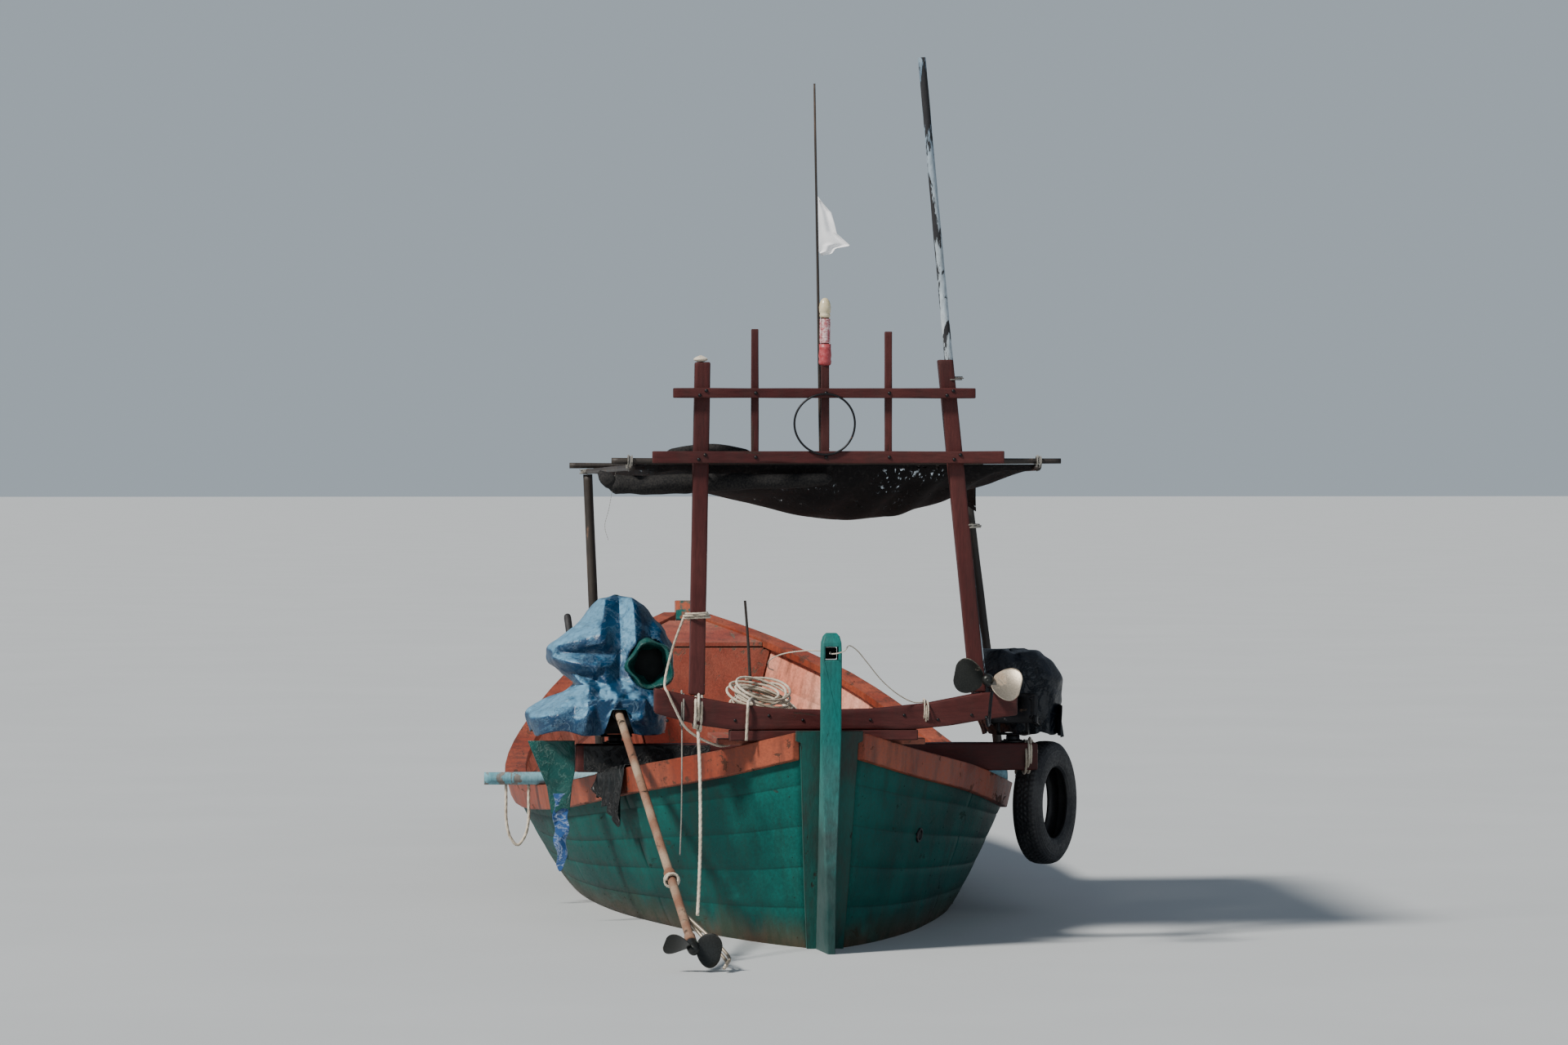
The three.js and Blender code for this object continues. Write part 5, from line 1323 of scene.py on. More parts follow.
def build_covers():
    """The blue tarpaulin in two tiers over the port engine, the navy cover over the starboard one, and the
    green corner that hangs from the beam's port end with a speckled strip below it."""
    tarp, grid = lump("tarp_blue", PORT_TARP, 280, 3, (0.011, 0.005, 0.008), "tarp", "port_drive",
                      reshape=open_port_tarp)
    stand_in(tarp, "port_cover")
    t = down(36)
    a = np.linspace(0, 2 * np.pi, 72, endpoint=False)[None, :]
    depth = np.interp(t, [0, 0.3, 0.42, 0.5, 0.75, 1], [-2.66, -2.765, -2.79, -2.785, -2.7, -2.62])
    wide = np.interp(t, [0, 0.3, 0.42, 0.5, 0.75, 1], [0.112, 0.108, 0.102, 0.092, 0.075, 0.03])
    high = wide * 1.12
    mouth = surface(depth, MOUTH_Y + wide * np.cos(a), MOUTH_Z + high * np.sin(a))
    ripple = 0.03 * (crumple(mouth, 13.0, 31, 4) - 0.5) + 0.006 * np.sin(5 * a + 3 * t + 1)
    mouth = mouth + surface(0.0, np.cos(a), np.sin(a)) * ripple[..., None]
    mouth[..., 0] += 0.01 * np.sin(3 * a + 1)
    ring = shell("tarp_mouth", mouth, 0.002, "green", "port_drive", wrap=True)
    # Painted shade: a black cup closes the tarp's mouth, where its inside lies in shade.
    mouth_shade = lathe("tarp_mouth_shade", [(0.001, 0.0), (0.05, 0.0), (0.08, -0.03), (0.08, -0.032),
                                     (0.001, -0.01)],
                 (-2.66, MOUTH_Y, MOUTH_Z), X_AXIS, "dark", "port_drive")

    navy, grid = lump("cover_navy", STARBOARD_COVER, 200, 8, (0.014, 0.005, 0.01), "navy",
                      "starboard_drive", hem=0.008, square=2.8)
    stand_in(navy, "starboard_cover")
    u, v = across(40), down(44)
    wide = 0.1 * (1 - 0.55 * v)
    tail = surface(-2.6 + 0.16 * u * (1 - 0.4 * v), -1.262 - 0.012 * v + wide * (u - 0.5) * 0.35,
                   0.99 - 0.15 * v + 0.02 * u)
    tail[..., 1] += 0.011 * np.sin(14 * u + 2 * v) * v
    fold = shell("cover_fold", tail, 0.0022, "navy", "starboard_drive")
    build_skirt()


def build_skirt():
    """The green corner of tarpaulin outside the hull with the speckled strip below it, and black cloths on
    the beam and over the rail that are partly cloth and partly painted shade under the tarp."""
    v = down(90)
    u = np.linspace(1, 0, 50)[None, :]
    z = 0.845 + (0.52 - 0.845) * v
    left = np.interp(z, [0.45, 0.64, 0.84], [1.118, 1.152, 1.238])
    right = np.interp(z, [0.45, 0.64, 0.7, 0.815, 0.84], [1.052, 1.035, 1.022, 1.022, 1.022])
    y = right + (left - right) * u
    grid = surface(fore(1.703), y, z + 0.012 * np.sin(5 * u) * v)
    grid[..., 0] += 0.009 * facets(grid, 22.0, 41, 3) + 0.004 * waves(grid, 30.0, 42)
    skirt = shell("skirt_green", grid, 0.002, "green")
    stand_in(skirt, "hanging_tarp")
    z2 = 0.6 + (0.268 - 0.6) * v
    left2 = np.interp(z2, [0.268, 0.4, 0.45, 0.6], [1.102, 1.118, 1.12, 1.118])
    right2 = np.interp(z2, [0.268, 0.4, 0.45, 0.6], [1.066, 1.056, 1.052, 1.048])
    y2 = right2 + (left2 - right2) * u + 0.006 * np.sin(9 * z2 * 6)
    strip_grid = surface(fore(1.698), y2, z2 - 0.03 * np.sin(np.pi * u) * v**6)
    strip_grid[..., 0] += 0.011 * facets(strip_grid, 26.0, 43, 3) + 0.005 * waves(strip_grid, 40.0, 44)
    strip = shell("skirt_strip", strip_grid, 0.002, "speckled")
    # Painted shade, partly a real cloth: a black sheet in front of the beam below the tarp's hem, where the
    # tarp shades.
    u = across(90)
    v = down(50)
    low = np.interp(u, [0, 0.25, 0.5, 0.75, 1], [0.56, 0.54, 0.6, 0.66, 0.76])
    z3 = 0.826 + (low - 0.826) * v
    far = np.interp(z3, [0.5, 0.6, 0.7, 0.71, 0.84], [0.8, 0.86, 0.9, 0.985, 0.985])
    y3 = far + (0.4 - far) * u
    beam_shade_grid = surface(-2.884 - 0.012 * v, y3, z3)
    beam_shade_grid[..., 0] += 0.006 * facets(beam_shade_grid, 16.0, 47, 3) + 0.008 * np.sin(40 * y3 + 3 * z3) * v
    beam_shade = shell("beam_shade_sheet", beam_shade_grid, 0.002, "black")
    # Painted shade, partly a real cloth: a black sheet over the rail cap, where the tarp's shadow falls.
    f = down(70)
    s = 1.33 + 0.32 * f
    half, top = column("rail_half", s), column("rail_z", s)
    hang = np.interp(f, [0, 0.12, 0.35, 1], [0.21, 0.27, 0.2, 0.085]) + 0.012 * np.sin(23 * f)
    u = across(96)
    turns = [0, 0.3, 0.34, 0.5, 0.6, 0.63, 1]
    y4 = half + np.interp(u, turns, [-0.1, -0.094, -0.088, -0.03, 0.034, 0.041, 0.046])
    z4 = top + np.interp(u, turns, [-0.2, -0.04, 0.008, 0.009, 0.008, -0.004, -0.004])
    z4 = z4 - (hang - 0.004) * np.clip((u - 0.63) / 0.37, 0, 1)
    loose = np.clip((u - 0.66) / 0.34, 0, 1)
    rail_shade_grid = surface(fore(s) + 0.03 * loose * (1 - 2 * f) * (f < 0.3), y4, z4)
    rail_shade_grid[..., 1] += loose * (0.012 * np.sin(31 * f + 2 * loose) + 0.012)
    rail_shade_grid[..., 2] += 0.002 * (1 + np.sin(40 * f)) * (1 - loose)
    rail_shade = shell("rail_shade_sheet", rail_shade_grid, 0.002, "black")


# ---------------------------------------------------------------- engines


PIVOT_X, PIVOT_Z = -2.8, 0.93
SHAFT_UP = 0.09
BEAM_TOP = 0.8293
ENGINES = {
    "port": {"y": 0.835, "yaw": 3.9, "pitch": 19.6, "tail": 2.716, "tube": 0.019, "blade": 0.125,
             "roll": -65.0, "to": 0.66, "half": 0.2, "top": 0.3, "grip": 0.12},
    "starboard": {"y": -1.02, "yaw": -10.9, "pitch": -5.3, "tail": 1.795, "tube": 0.0175, "blade": 0.15,
                  "roll": 0.0, "to": 0.58, "half": 0.14, "top": 0.29, "grip": 0.3},
}


def engine_place(side, points, pitched=True):
    """Points of an engine's own frame, x along its rails and the pivot at the origin, put in the boat."""
    e = ENGINES[side]
    p = np.asarray(points, float)
    tilt, yaw = math.radians(e["pitch"] if pitched else 0.0), math.radians(e["yaw"])
    x, z = turned(p[..., 0], p[..., 2], tilt)
    x, y = turned(x, p[..., 1], yaw)
    return surface(x + PIVOT_X, y + e["y"], z + PIVOT_Z)


def place_object(obj, side, pitched):
    """Moves a piece built in an engine's own frame to its place, in its vertices."""
    mesh = obj.data
    co = np.empty(len(mesh.vertices) * 3)
    mesh.vertices.foreach_get("co", co)
    mesh.vertices.foreach_set("co", engine_place(side, co.reshape(-1, 3), pitched).ravel())
    mesh.update()


def join_pieces(name, pieces):
    """Joins built pieces into one object of that name, with all their materials."""
    bpy.context.view_layer.update()
    with bpy.context.temp_override(active_object=pieces[0], object=pieces[0], selected_objects=pieces,
                                   selected_editable_objects=pieces):
        bpy.ops.object.join()
    pieces[0].name = name
    return pieces[0]


def fit_engine_piece(side, node, name, parts, pitched=True):
    """Puts the parts of a piece of an engine in their place and joins them, to stand in for a CAD node."""
    for part in parts:
        place_object(part, side, pitched)
    piece = join_pieces(f"{side}_{name}", parts)
    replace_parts(piece, f"{side}_{node}")
    return piece


def ray_lengths(low_u, high_u, low_v, high_v, sides, power=10.0):
    """Distance to the edge of a round-cornered rectangle about the origin, at even angles from u to v."""
    a = round_turn(sides)
    c, s = np.cos(a), np.sin(a)
    u, v = np.where(c > 0, high_u, low_u), np.where(s > 0, high_v, low_v)
    return (np.abs(c / u) ** power + np.abs(s / v) ** power) ** (-1 / power)


def plate_with_bore(name, outline, bore, low, high, origin, axis, material, body="hull"):
    """A plate of an outline given as distances from its bore, with eased edges."""
    ease = 0.003
    rows = [(bore, low), (outline - ease, low), (outline, low + ease), (outline, high - ease),
            (outline - ease, high), (bore, high)]
    return lathe(name, rows, origin, axis, material, body, 0, 1, len(outline), ring=True)


def build_mounts(side, e):
    """The collar on the beam, the swivel with its ears, and the frame with bracket, trunnion and handle."""
    steel, top, origin = "steel", BEAM_TOP, (0, 0, 0)
    rows = [(0.0168, 0.0004), (0.058, 0.0004), (0.06, 0.002), (0.06, 0.0065), (0.0585, 0.008),
            (0.037, 0.009), (0.033, 0.013), (0.032, 0.018), (0.032, 0.03), (0.0305, 0.032), (0.0168, 0.032)]
    collar = lathe(f"{side}_pivot_collar", rows, (PIVOT_X, e["y"], top), Z_AXIS, steel, "hull", 0, 1, 36,
                   ring=True)
    turns = np.radians([45, 135, 225, 315])
    spots = surface(PIVOT_X + 0.048 * np.cos(turns), e["y"] + 0.048 * np.sin(turns), top + 0.008)
    bolts = stud_mesh("bolts", spots, np.tile(Z_AXIS, (4, 1)), 0.007, 0.006, steel)
    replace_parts(join_pieces(f"{side}_pivot_collar", [collar, bolts]), f"{side}_pivot_base")

    body, low = f"{side}_steering", top + 0.033 - PIVOT_Z
    foot = top + 0.002 - PIVOT_Z
    pin = [(0.001, foot), (0.0145, foot), (0.016, top + 0.004 - PIVOT_Z), (0.016, low + 0.002),
           (0.001, low + 0.002)]
    ends = (-0.05, 0, low + 0.005), (0.05, 0, low + 0.005)
    parts = [
        straight_bar("plate", *ends, (0.15, 0.01), (Y_AXIS, Z_AXIS), steel, body, 0.003, 3),
        lathe("pin", pin, origin, Z_AXIS, steel, body, 0, 1, 24),
    ]
    ear = ray_lengths(0.0655, 0.025, 0.025, 0.025, 48)
    a = round_turn(48)
    ear = np.where(np.cos(a) > 0, 0.025, ear)
    for hand in (-1, 1):
        shape = np.roll(ear, 24) if hand == 1 else ear
        way = Y_AXIS * hand
        parts.append(plate_with_bore("ear", shape, 0.0127, 0.06, 0.075, origin, way, steel, body))
    spots = [(x, y, low + 0.01) for x in (-0.038, 0.038) for y in (-0.045, 0.045)]
    parts.append(stud_mesh("bolts", spots, np.tile(Z_AXIS, (4, 1)), 0.006, 0.005, steel, body))
    fit_engine_piece(side, "swivel", "swivel_yoke", parts, False)

    body, to, r = f"{side}_drive", e["to"], e["tube"]
    bars = [((-0.12, y, 0), (to, y, 0), (0.025, 0.04), (Y_AXIS, Z_AXIS)) for y in (-0.1095, 0.1095)]
    bars += [((u, -0.11, -0.006), (u, 0.11, -0.006), (0.03, 0.028), (X_AXIS, Z_AXIS))
             for u in (0.24, to - 0.06)]
    parts = [straight_bar("rail", start, end, size, axes, steel, body, 0.004, 4 + k)
             for k, (start, end, size, axes) in enumerate(bars)]
    plate, bore, shaft = ray_lengths(0.108, 0.034, 0.121, 0.121, 64), r + 0.0004, (0, 0, SHAFT_UP)
    parts.append(plate_with_bore("bracket", plate, bore, -0.104, -0.092, shaft, X_AXIS, steel, body))
    rows = [(bore, -0.125), (r + 0.011, -0.125), (r + 0.013, -0.122), (r + 0.013, -0.074), (bore, -0.074)]
    parts.append(lathe("sleeve", rows, shaft, X_AXIS, steel, body, 0, 1, 28, ring=True))
    spots = [(-0.104, y, z) for y in (-0.09, 0.09) for z in (0.01, 0.095)]
    parts.append(stud_mesh("bolts", spots, np.tile(-X_AXIS, (4, 1)), 0.008, 0.007, steel, body))
    for hand in (-1, 1):
        gusset = [(-0.1, hand * 0.1, 0.005), (-0.1, hand * 0.1, 0.11)]
        parts.append(straight_bar("gusset", *gusset, (0.022, 0.02), (X_AXIS, Y_AXIS), steel, body, 0.003, 9))
    rows = [(0.001, -0.128), (0.011, -0.128), (0.012, -0.127), (0.012, 0.127), (0.011, 0.128),
            (0.001, 0.128)]
    parts.append(lathe("trunnion", rows, origin, Y_AXIS, steel, body, 0, 1, 24))
    bend, tip = np.array([to + 0.085, 0.11, 0.0]), np.array([1.06, 0.11, e["grip"]])
    way = (tip - bend) / np.linalg.norm(tip - bend)
    corners = [(to - 0.01, 0.11, 0), (to + 0.05, 0.11, 0), tuple(bend + way * 0.03), tuple(tip)]
    arm = smooth_path(corners, 0.01)
    parts.append(make_object("handle", *sweep(arm, 0.0138, 16), steel, body))
    rows = [(0.0139, 0.0), (0.0165, 0.002)]
    for k in range(11):
        rows += [(0.0178, 0.006 + k * 0.01), (0.0164, 0.011 + k * 0.01)]
    rows += [(0.0165, 0.12), (0.0139, 0.123)]
    parts.append(lathe("grip", rows, tuple(tip - way * 0.125), way, "rubber", body, 0, 1, 24))
    fit_engine_piece(side, "engine_frame", "frame_welded", parts)


def build_engines():
    """Under each cover a small engine: crankcase, finned cylinder, flywheel, tank and silencer."""
    for side, e in ENGINES.items():
        body = f"{side}_drive"
        iron, steel = "engine", "steel"
        half, top, to = e["half"], e["top"], e["to"]
        mid = (0.2 + to) / 2
        parts = [
            straight_bar("crankcase", (0.2, 0, 0.13), (to - 0.04, 0, 0.13), (half * 1.1, 0.17),
                         (Y_AXIS, Z_AXIS), iron, body, 0.02, 1),
            straight_bar("tank", (mid - 0.02, 0, top - 0.05), (to - 0.05, 0, top - 0.05), (half, 0.08),
                         (Y_AXIS, Z_AXIS), "rusty", body, 0.02, 2),
        ]
        fins = [(0.045, 0.0)]
        for k in range(8):
            z = 0.008 + k * 0.013
            fins += [(0.045, z), (0.062, z + 0.001), (0.062, z + 0.005), (0.045, z + 0.006)]
        parts.append(lathe("cylinder", fins, (0.27, 0, 0.17), Z_AXIS, iron, body, 0, 1, 24))
        wheel = [(0.02, -0.02), (0.085, -0.02), (0.09, -0.016), (0.09, -0.006), (0.082, 0.0), (0.09, 0.006),
                 (0.09, 0.016), (0.085, 0.02), (0.02, 0.02)]
        parts.append(lathe("flywheel", wheel, (mid, half * 0.72, 0.13), Y_AXIS, steel, body, 0, 2, 40))
        pipe = smooth_path([(0.27, -half * 0.5, 0.2), (0.22, -half * 0.8, 0.2), (0.25, -half * 0.95, 0.13),
                            (0.36, -half * 0.95, 0.09)], 0.01)
        parts.append(make_object("silencer", *sweep(pipe, 0.014, 12), "rusty", body))
        fit_engine_piece(side, "engine", "engine_body", parts)
        build_mounts(side, e)
        build_tail(side, e)


def about_shaft(path, degrees):
    """Points turned about the shaft line of an engine's own frame."""
    p = np.array(path, float)
    y, z = turned(p[:, 1], p[:, 2] - SHAFT_UP, math.radians(degrees))
    return surface(p[:, 0], y, SHAFT_UP + z)


def build_tail(side, e):
    """The tail tube with its collar, welded sleeves and skeg bars, and the propeller on its shaft."""
    tail, r = e["tail"], e["tube"]
    coat = "rusty" if side == "port" else "steel"
    body = f"{side}_drive"
    collar = tail * 0.72
    rows = [(0.0128, -tail + 0.06), (r + 0.003, -tail + 0.06), (r + 0.005, -tail + 0.064),
            (r + 0.005, -tail + 0.11), (r + 0.002, -tail + 0.116), (r, -tail + 0.12)]
    rows += [(r, x) for x in np.arange(-tail + 0.14, -collar - 0.02, 0.03)]
    rows += [(r + 0.001, -collar - 0.0142), (r + 0.0065, -collar - 0.012), (r + 0.0065, -collar + 0.012),
             (r + 0.001, -collar + 0.0142)]
    rows += [(r, x) for x in np.arange(-collar + 0.03, 0.16, 0.03)] + [(r, 0.1795), (0.0128, 0.1795)]
    tube = lathe("tube", rows, (0, 0, SHAFT_UP), X_AXIS, coat, body, 0.0006, 4, 24)
    shaft = lathe("shaft", [(0.001, -0.034), (0.012, -0.034), (0.012, 0.07), (0.001, 0.07)],
                  (-tail, 0, SHAFT_UP), X_AXIS, "steel", body, 0, 1, 20)
    low = SHAFT_UP - e["blade"] - 0.045
    parts = [tube, shaft]
    for shift in ((-0.011, 0.011) if side == "port" else (0.0,)):
        line = [(-tail + 0.33, shift * 0.4, SHAFT_UP - 0.014), (-tail + 0.2, shift, SHAFT_UP - 0.085),
                (-tail + 0.08, shift, low + 0.012), (-tail + 0.02, shift, low),
                (-tail - 0.07, shift * 0.4, low + 0.03)]
        path = smooth_path(about_shaft(line, e["roll"]), 0.008)
        skeg = "pale_blade" if side == "port" else "steel"
        parts.append(make_object("skeg", *sweep(path, 0.0075, 10), skeg, body))
    obj = fit_engine_piece(side, "tail_tube", "tail", parts)
    hub = [(0.0127, -0.036), (0.0127, 0.046), (0.024, 0.046), (0.0262, 0.03), (0.027, 0.0), (0.025, -0.02),
           (0.02, -0.036), (0.009, -0.0425), (0.001, -0.0435), (0.001, -0.036)]
    body = f"{side}_screw"
    screw = [lathe("hub", hub, (-tail, 0, SHAFT_UP), X_AXIS, "blade", body, 0, 1, 28)]
    for k, turn in enumerate((102.0, -78.0)):
        # Painted light: on the starboard propeller the first blade is pale as if sunlit and the second dark
        # as if in shade.
        coat = "pale_blade" if side == "starboard" and k == 0 else "blade"
        screw.append(blade(e["blade"], turn, tail, coat, body))
    fit_engine_piece(side, "propeller", "screw_blades", screw)


def blade(radius, turn, tail, material, body):
    """One broad propeller blade, turned flatter towards its tip, cupped and thin at its edges."""
    f, c = np.linspace(0.15, 0.985, 36)[:, None], np.linspace(-1, 1, 25)[None, :]
    half = 0.6 * np.sqrt(np.clip(1 - ((f - 0.56) / 0.45) ** 2, 0.01, 1)) ** 0.85
    half = radius * np.maximum(half, 0.3 * (f < 0.4))
    twist = np.radians(35 + 35 * (f - 0.14) / 0.83)
    across, cup = half * c, 0.05 * radius * (c**2 - 0.5) * np.sin(np.pi * f)
    thick = np.interp(f, [0.14, 1], [0.0038, 0.0014]) * np.sqrt(1 - 0.94 * c**2)
    sides = []
    for hand in (1, -1):
        lift = cup + hand * thick
        x, y = turned(across, lift, twist)
        y, z = turned(y, radius * f, math.radians(turn))
        sides.append(surface(x - tail, y, z + SHAFT_UP))
    return two_faced("blade", sides[0], sides[1], material, body)


# ---------------------------------------------------------------- beam, tyre and poles


TYRE = {"s": 2.005, "y": -1.212, "z": 0.527, "turn": -29.0}
TREAD_FROM, TREAD_DEEP = 0.276, 0.006


def tyre_place(points):
    """Points with z along the tyre's axis turned upright and put at the boat's side."""
    p = np.asarray(points, float)
    x, y = turned(p[..., 0], -p[..., 2], math.radians(TYRE["turn"]))
    return surface(x + fore(TYRE["s"]), y + TYRE["y"], p[..., 1] + TYRE["z"])


def build_tyre():
    """The car tyre hung as a fender: tread blocks, ribs on its walls, bead and hollow inside."""
    key = np.array([[0.168, -0.0475], [0.176, -0.058], [0.196, -0.0655], [0.225, -0.066], [0.251, -0.064],
                    [0.272, -0.056], [0.285, -0.046], [0.2905, -0.03], [0.2925, 0.0], [0.2905, 0.03],
                    [0.285, 0.046], [0.272, 0.056], [0.251, 0.064], [0.225, 0.066], [0.196, 0.0655],
                    [0.176, 0.058], [0.168, 0.0475], [0.172, 0.038], [0.182, 0.033], [0.22, 0.034],
                    [0.255, 0.03], [0.262, 0.0], [0.255, -0.03], [0.22, -0.034], [0.182, -0.033],
                    [0.172, -0.038]])
    closed = np.concatenate([key, key[:1]])
    t = np.linspace(0, len(key), 26 * 6, endpoint=False)
    r, h = (np.interp(t, np.arange(len(key) + 1), closed[:, k]) for k in range(2))
    a = np.linspace(0, 2 * np.pi, 360, endpoint=False)
    tread = np.clip((r - TREAD_FROM) / 0.006, 0, 1)[:, None] * (t < 16)[:, None]
    zigzag = np.abs(h[:, None] - 0.004 * np.sign(np.sin(60 * a))[None, :])
    line = (np.abs(zigzag - 0.014) < 0.0028) | (np.abs(h[:, None]) < 0.0022)
    slot = (np.sin(72 * a + 60 * h[:, None]) > 0.82) & (np.abs(h[:, None]) > 0.014)
    r2 = r[:, None] - TREAD_DEEP * tread * (line | slot)
    wall = ((t[:, None] > 1) & (t[:, None] < 5)) | ((t[:, None] > 11) & (t[:, None] < 15))
    rib = 0.0014 * np.cos((r[:, None] - 0.2) * 520) * wall
    h2 = h[:, None] + np.sign(h[:, None]) * np.minimum(rib, 0.0)
    p = surface(r2 * np.cos(a), r2 * np.sin(a), h2)
    p[..., 1] *= 1 - 0.012 * np.clip(-np.sin(a), 0, 1) ** 2
    tyre = make_object("tyre_rubber_ring", tyre_place(p), tube_faces(len(t), len(a), True), "rubber")
    stand_in(tyre, "tyre")
    top = [fore(1.775), -1.085, 0.8]
    over = tyre_place([(-0.2, 0.205, 0.0), (-0.13, 0.11, 0.0), (-0.125, 0.075, 0.035)])
    for k, d in enumerate((-0.012, 0.012)):
        line = [(top[0] - 0.01, top[1] - 0.02 + d, top[2] + 0.034),
                (top[0] + 0.035, top[1] - 0.05 + d, top[2] - 0.03),
                (over[1][0] + d, over[1][1] + 0.09, over[1][2] + 0.03 + d),
                tuple(over[1] + [d, 0.0, -0.02 - 0.03 * k])]
        obj, _ = rope(f"tyre_rope_{k}", line, 0.012, "rope")
        if k == 0:
            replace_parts(obj, "tyre_lashing")
    turns_at = (fore(1.7), -1.085, 0.7645)
    knot("tyre_rope_turns", turns_at, (0.152, 0.152), 0.012, "rope", axis="y", seed=5)


SIDE_POLE_S = 2.75


def build_beam_and_poles():
    """The engine beam, the pole across the boat, whose hanging loop is laid with the ropes, and the tall
    peeling pole.
    """
    x = fore(1.7)
    beam = straight_bar("beam_bar", (x, -1.13, 0.7643), (x, 1.02, 0.7643), (0.13, 0.1297), (X_AXIS, Z_AXIS),
                        "red_across", radius=0.01, seed=61)
    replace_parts(beam, "engine_beam")
    x = fore(SIDE_POLE_S)
    side = pole("side_pole_wood", (x, 1.405, 0.6134), (x, -1.128, 0.6134), 0.031, 0.031,
                "side_pole", seed=62, wander=0.0015, knots=0.0008)
    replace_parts(side, "side_pole")
    tall = pole("long_pole_wood", (fore(0.364), -0.712, 1.145), (fore(0.364), -0.441, 3.915), 0.022, 0.019,
                "long_pole", seed=63, wander=0.004, knots=0.0016)
    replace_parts(tall, "long_pole")
    for k, (y, z) in enumerate(((-0.575, 2.5), (-0.655, 1.85))):
        knot(f"long_pole_lashing_{k}", (fore(0.345), y, z), (0.14, 0.085), 0.006, "grey_rope",
             seed=70 + k)
    stick = pole("deck_stick", (fore(0.9), 0.257, 0.9155), (fore(0.9), 0.297, 1.51), 0.0085, 0.006,
                 "dark_upright", seed=64, wander=0.003, knots=0.0006)


# ---------------------------------------------------------------- ropes


SIDE_POLE_UNDER = 0.5824
POLE_LOOP = [(1.3, 0.0003), (1.3, 0.07), (1.299, 0.17), (1.281, 0.25), (1.246, 0.29), (1.211, 0.25),
             (1.192, 0.17), (1.191, 0.07), (1.191, 0.0003)]
ROPE_END = [(0.49, 0.287, 1.045), (0.466, 0.291, 1.062), (0.43, 0.3, 1.08), (0.38, 0.312, 1.09),
            (0.34, 0.32, 1.088), (0.305, 0.328, 1.082), (0.27, 0.333, 1.08), (0.249, 0.336, 1.07),
            (0.243, 0.338, 1.045), (0.243, 0.34, 1.005), (0.243, 0.342, 0.96), (0.243, 0.344, 0.912)]


HEAP_LOW, HEAP_HIGH = 0.9215, 1.186


def settle(line, gap, rounds):
    """Moves apart the places where a rope would lie in itself: each pair of points nearer than the gap is
    pushed away from one another, and what all pairs ask of a point is smoothed along the rope."""
    start, moved = line.copy(), np.zeros_like(line)
    step = np.linalg.norm(line[1] - line[0])
    index = np.arange(len(line))
    apart = np.abs(index[:, None] - index[None]) * step > 4 * gap
    kernel = np.array([0.2, 0.6, 0.2])
    for _ in range(rounds):
        now = start + moved
        between = now[:, None] - now[None]
        far = np.linalg.norm(between, axis=2) + 1e-9
        close = np.where(apart, np.clip(gap - far, 0, None), 0) / far
        push = (close[..., None] * between).sum(axis=1) * 0.45
        push[:, 2] *= 1.3
        moved = moved + push
        for axis in range(3):
            moved[:, axis] = smoothed(moved[:, axis], kernel)
        moved[:, 2] = np.clip(start[:, 2] + moved[:, 2], HEAP_LOW, HEAP_HIGH) - start[:, 2]
    return start + moved


def coil_line():
    """The way of the rope heap's rope: loose turns of uneven size, each a little out of the middle and out
    of level, thrown one on the other, and then settled."""
    count = 19.0
    turn = np.linspace(0, count, int(count * 34))
    rng = np.random.default_rng(5)
    keys = np.arange(0, count + 2)
    slow = lambda low, high: np.interp(turn, keys, rng.uniform(low, high, len(keys)))
    top = np.clip((turn - 12) / 2, 0, 1)
    radius = slow(0.1, 0.18) * (1 - top) + slow(0.085, 0.135) * top
    phase = turn * 2 * np.pi + 0.6
    x, y = radius * np.cos(phase), radius * np.sin(phase) * (1 + 0.25 * top)
    lean = np.interp(turn, [0, 7, 12, 15], [0.08, 0.25, 0.38, 0.46]) * slow(0.7, 1.1)
    way = slow(-1.1, 1.1)
    z = np.interp(turn, [0, 12, 19],
                  [HEAP_LOW, 1.062, 1.125]) + (x * np.cos(way) + y * np.sin(way)) * np.tan(lean)
    kernel = np.hanning(15) / np.hanning(15).sum()
    line = surface(fore(0.69) + x + slow(-0.02, 0.02),
                   0.23 + y + slow(-0.02, 0.02) + slow(-0.045, 0.045) * top, z)
    for axis in range(3):
        line[:, axis] = smoothed(line[:, axis], kernel)
    line[:, 2] = np.clip(line[:, 2], HEAP_LOW, HEAP_HIGH)
    return settle(line, 0.0135, 90)


def build_ropes():
    """The rope heap on the stern deck, the ends that hang over the yoke, the loop under the side pole, the
    thin line through the stern post, and the slings that hold the port tail up."""
    white = "rope"
    line = [(fore(SIDE_POLE_S), y, SIDE_POLE_UNDER - 0.0003 - drop) for y, drop in POLE_LOOP]
    loop, path = rope("loop_rope", line, 0.016, white, step=0.01)
    stand_in(loop, "pole_loop")

    end, path = rope("yoke_rope_end", aboard(ROPE_END), 0.014, white, step=0.009)
    stand_in(end, "rope_end")

    heap_line = coil_line()
    heap, path = rope("rope_heap", heap_line, 0.012, white, step=0.0085)
    stand_in(heap, "rope_coil")

    line = [(0.66, 0.19, 1.205), (0.52, 0.225, 1.225), (0.4, 0.225, 1.262), (0.26, 0.165, 1.295),
            (0.12, 0.055, 1.31), (0.03, 0.0, 1.304), (-0.05, 0.0, 1.302), (-0.113, -0.004, 1.303),
            (-0.135, -0.022, 1.306), (-0.122, -0.048, 1.314), (-0.08, -0.064, 1.324), (0.0, -0.085, 1.335),
            (0.07, -0.125, 1.312), (0.135, -0.175, 1.258), (0.19, -0.25, 1.172), (0.235, -0.33, 1.108),
            (0.262, -0.395, 1.077), (0.282, -0.44, 1.0765)]
    thin, path = rope("post_line", aboard(line), 0.006, white, step=0.006)
    knot("post_line_knot", (fore(0.3), -0.45, 1.035), (0.104, 0.098), 0.008, white, axis="y", seed=81)
    build_slings(white, "grey_rope")


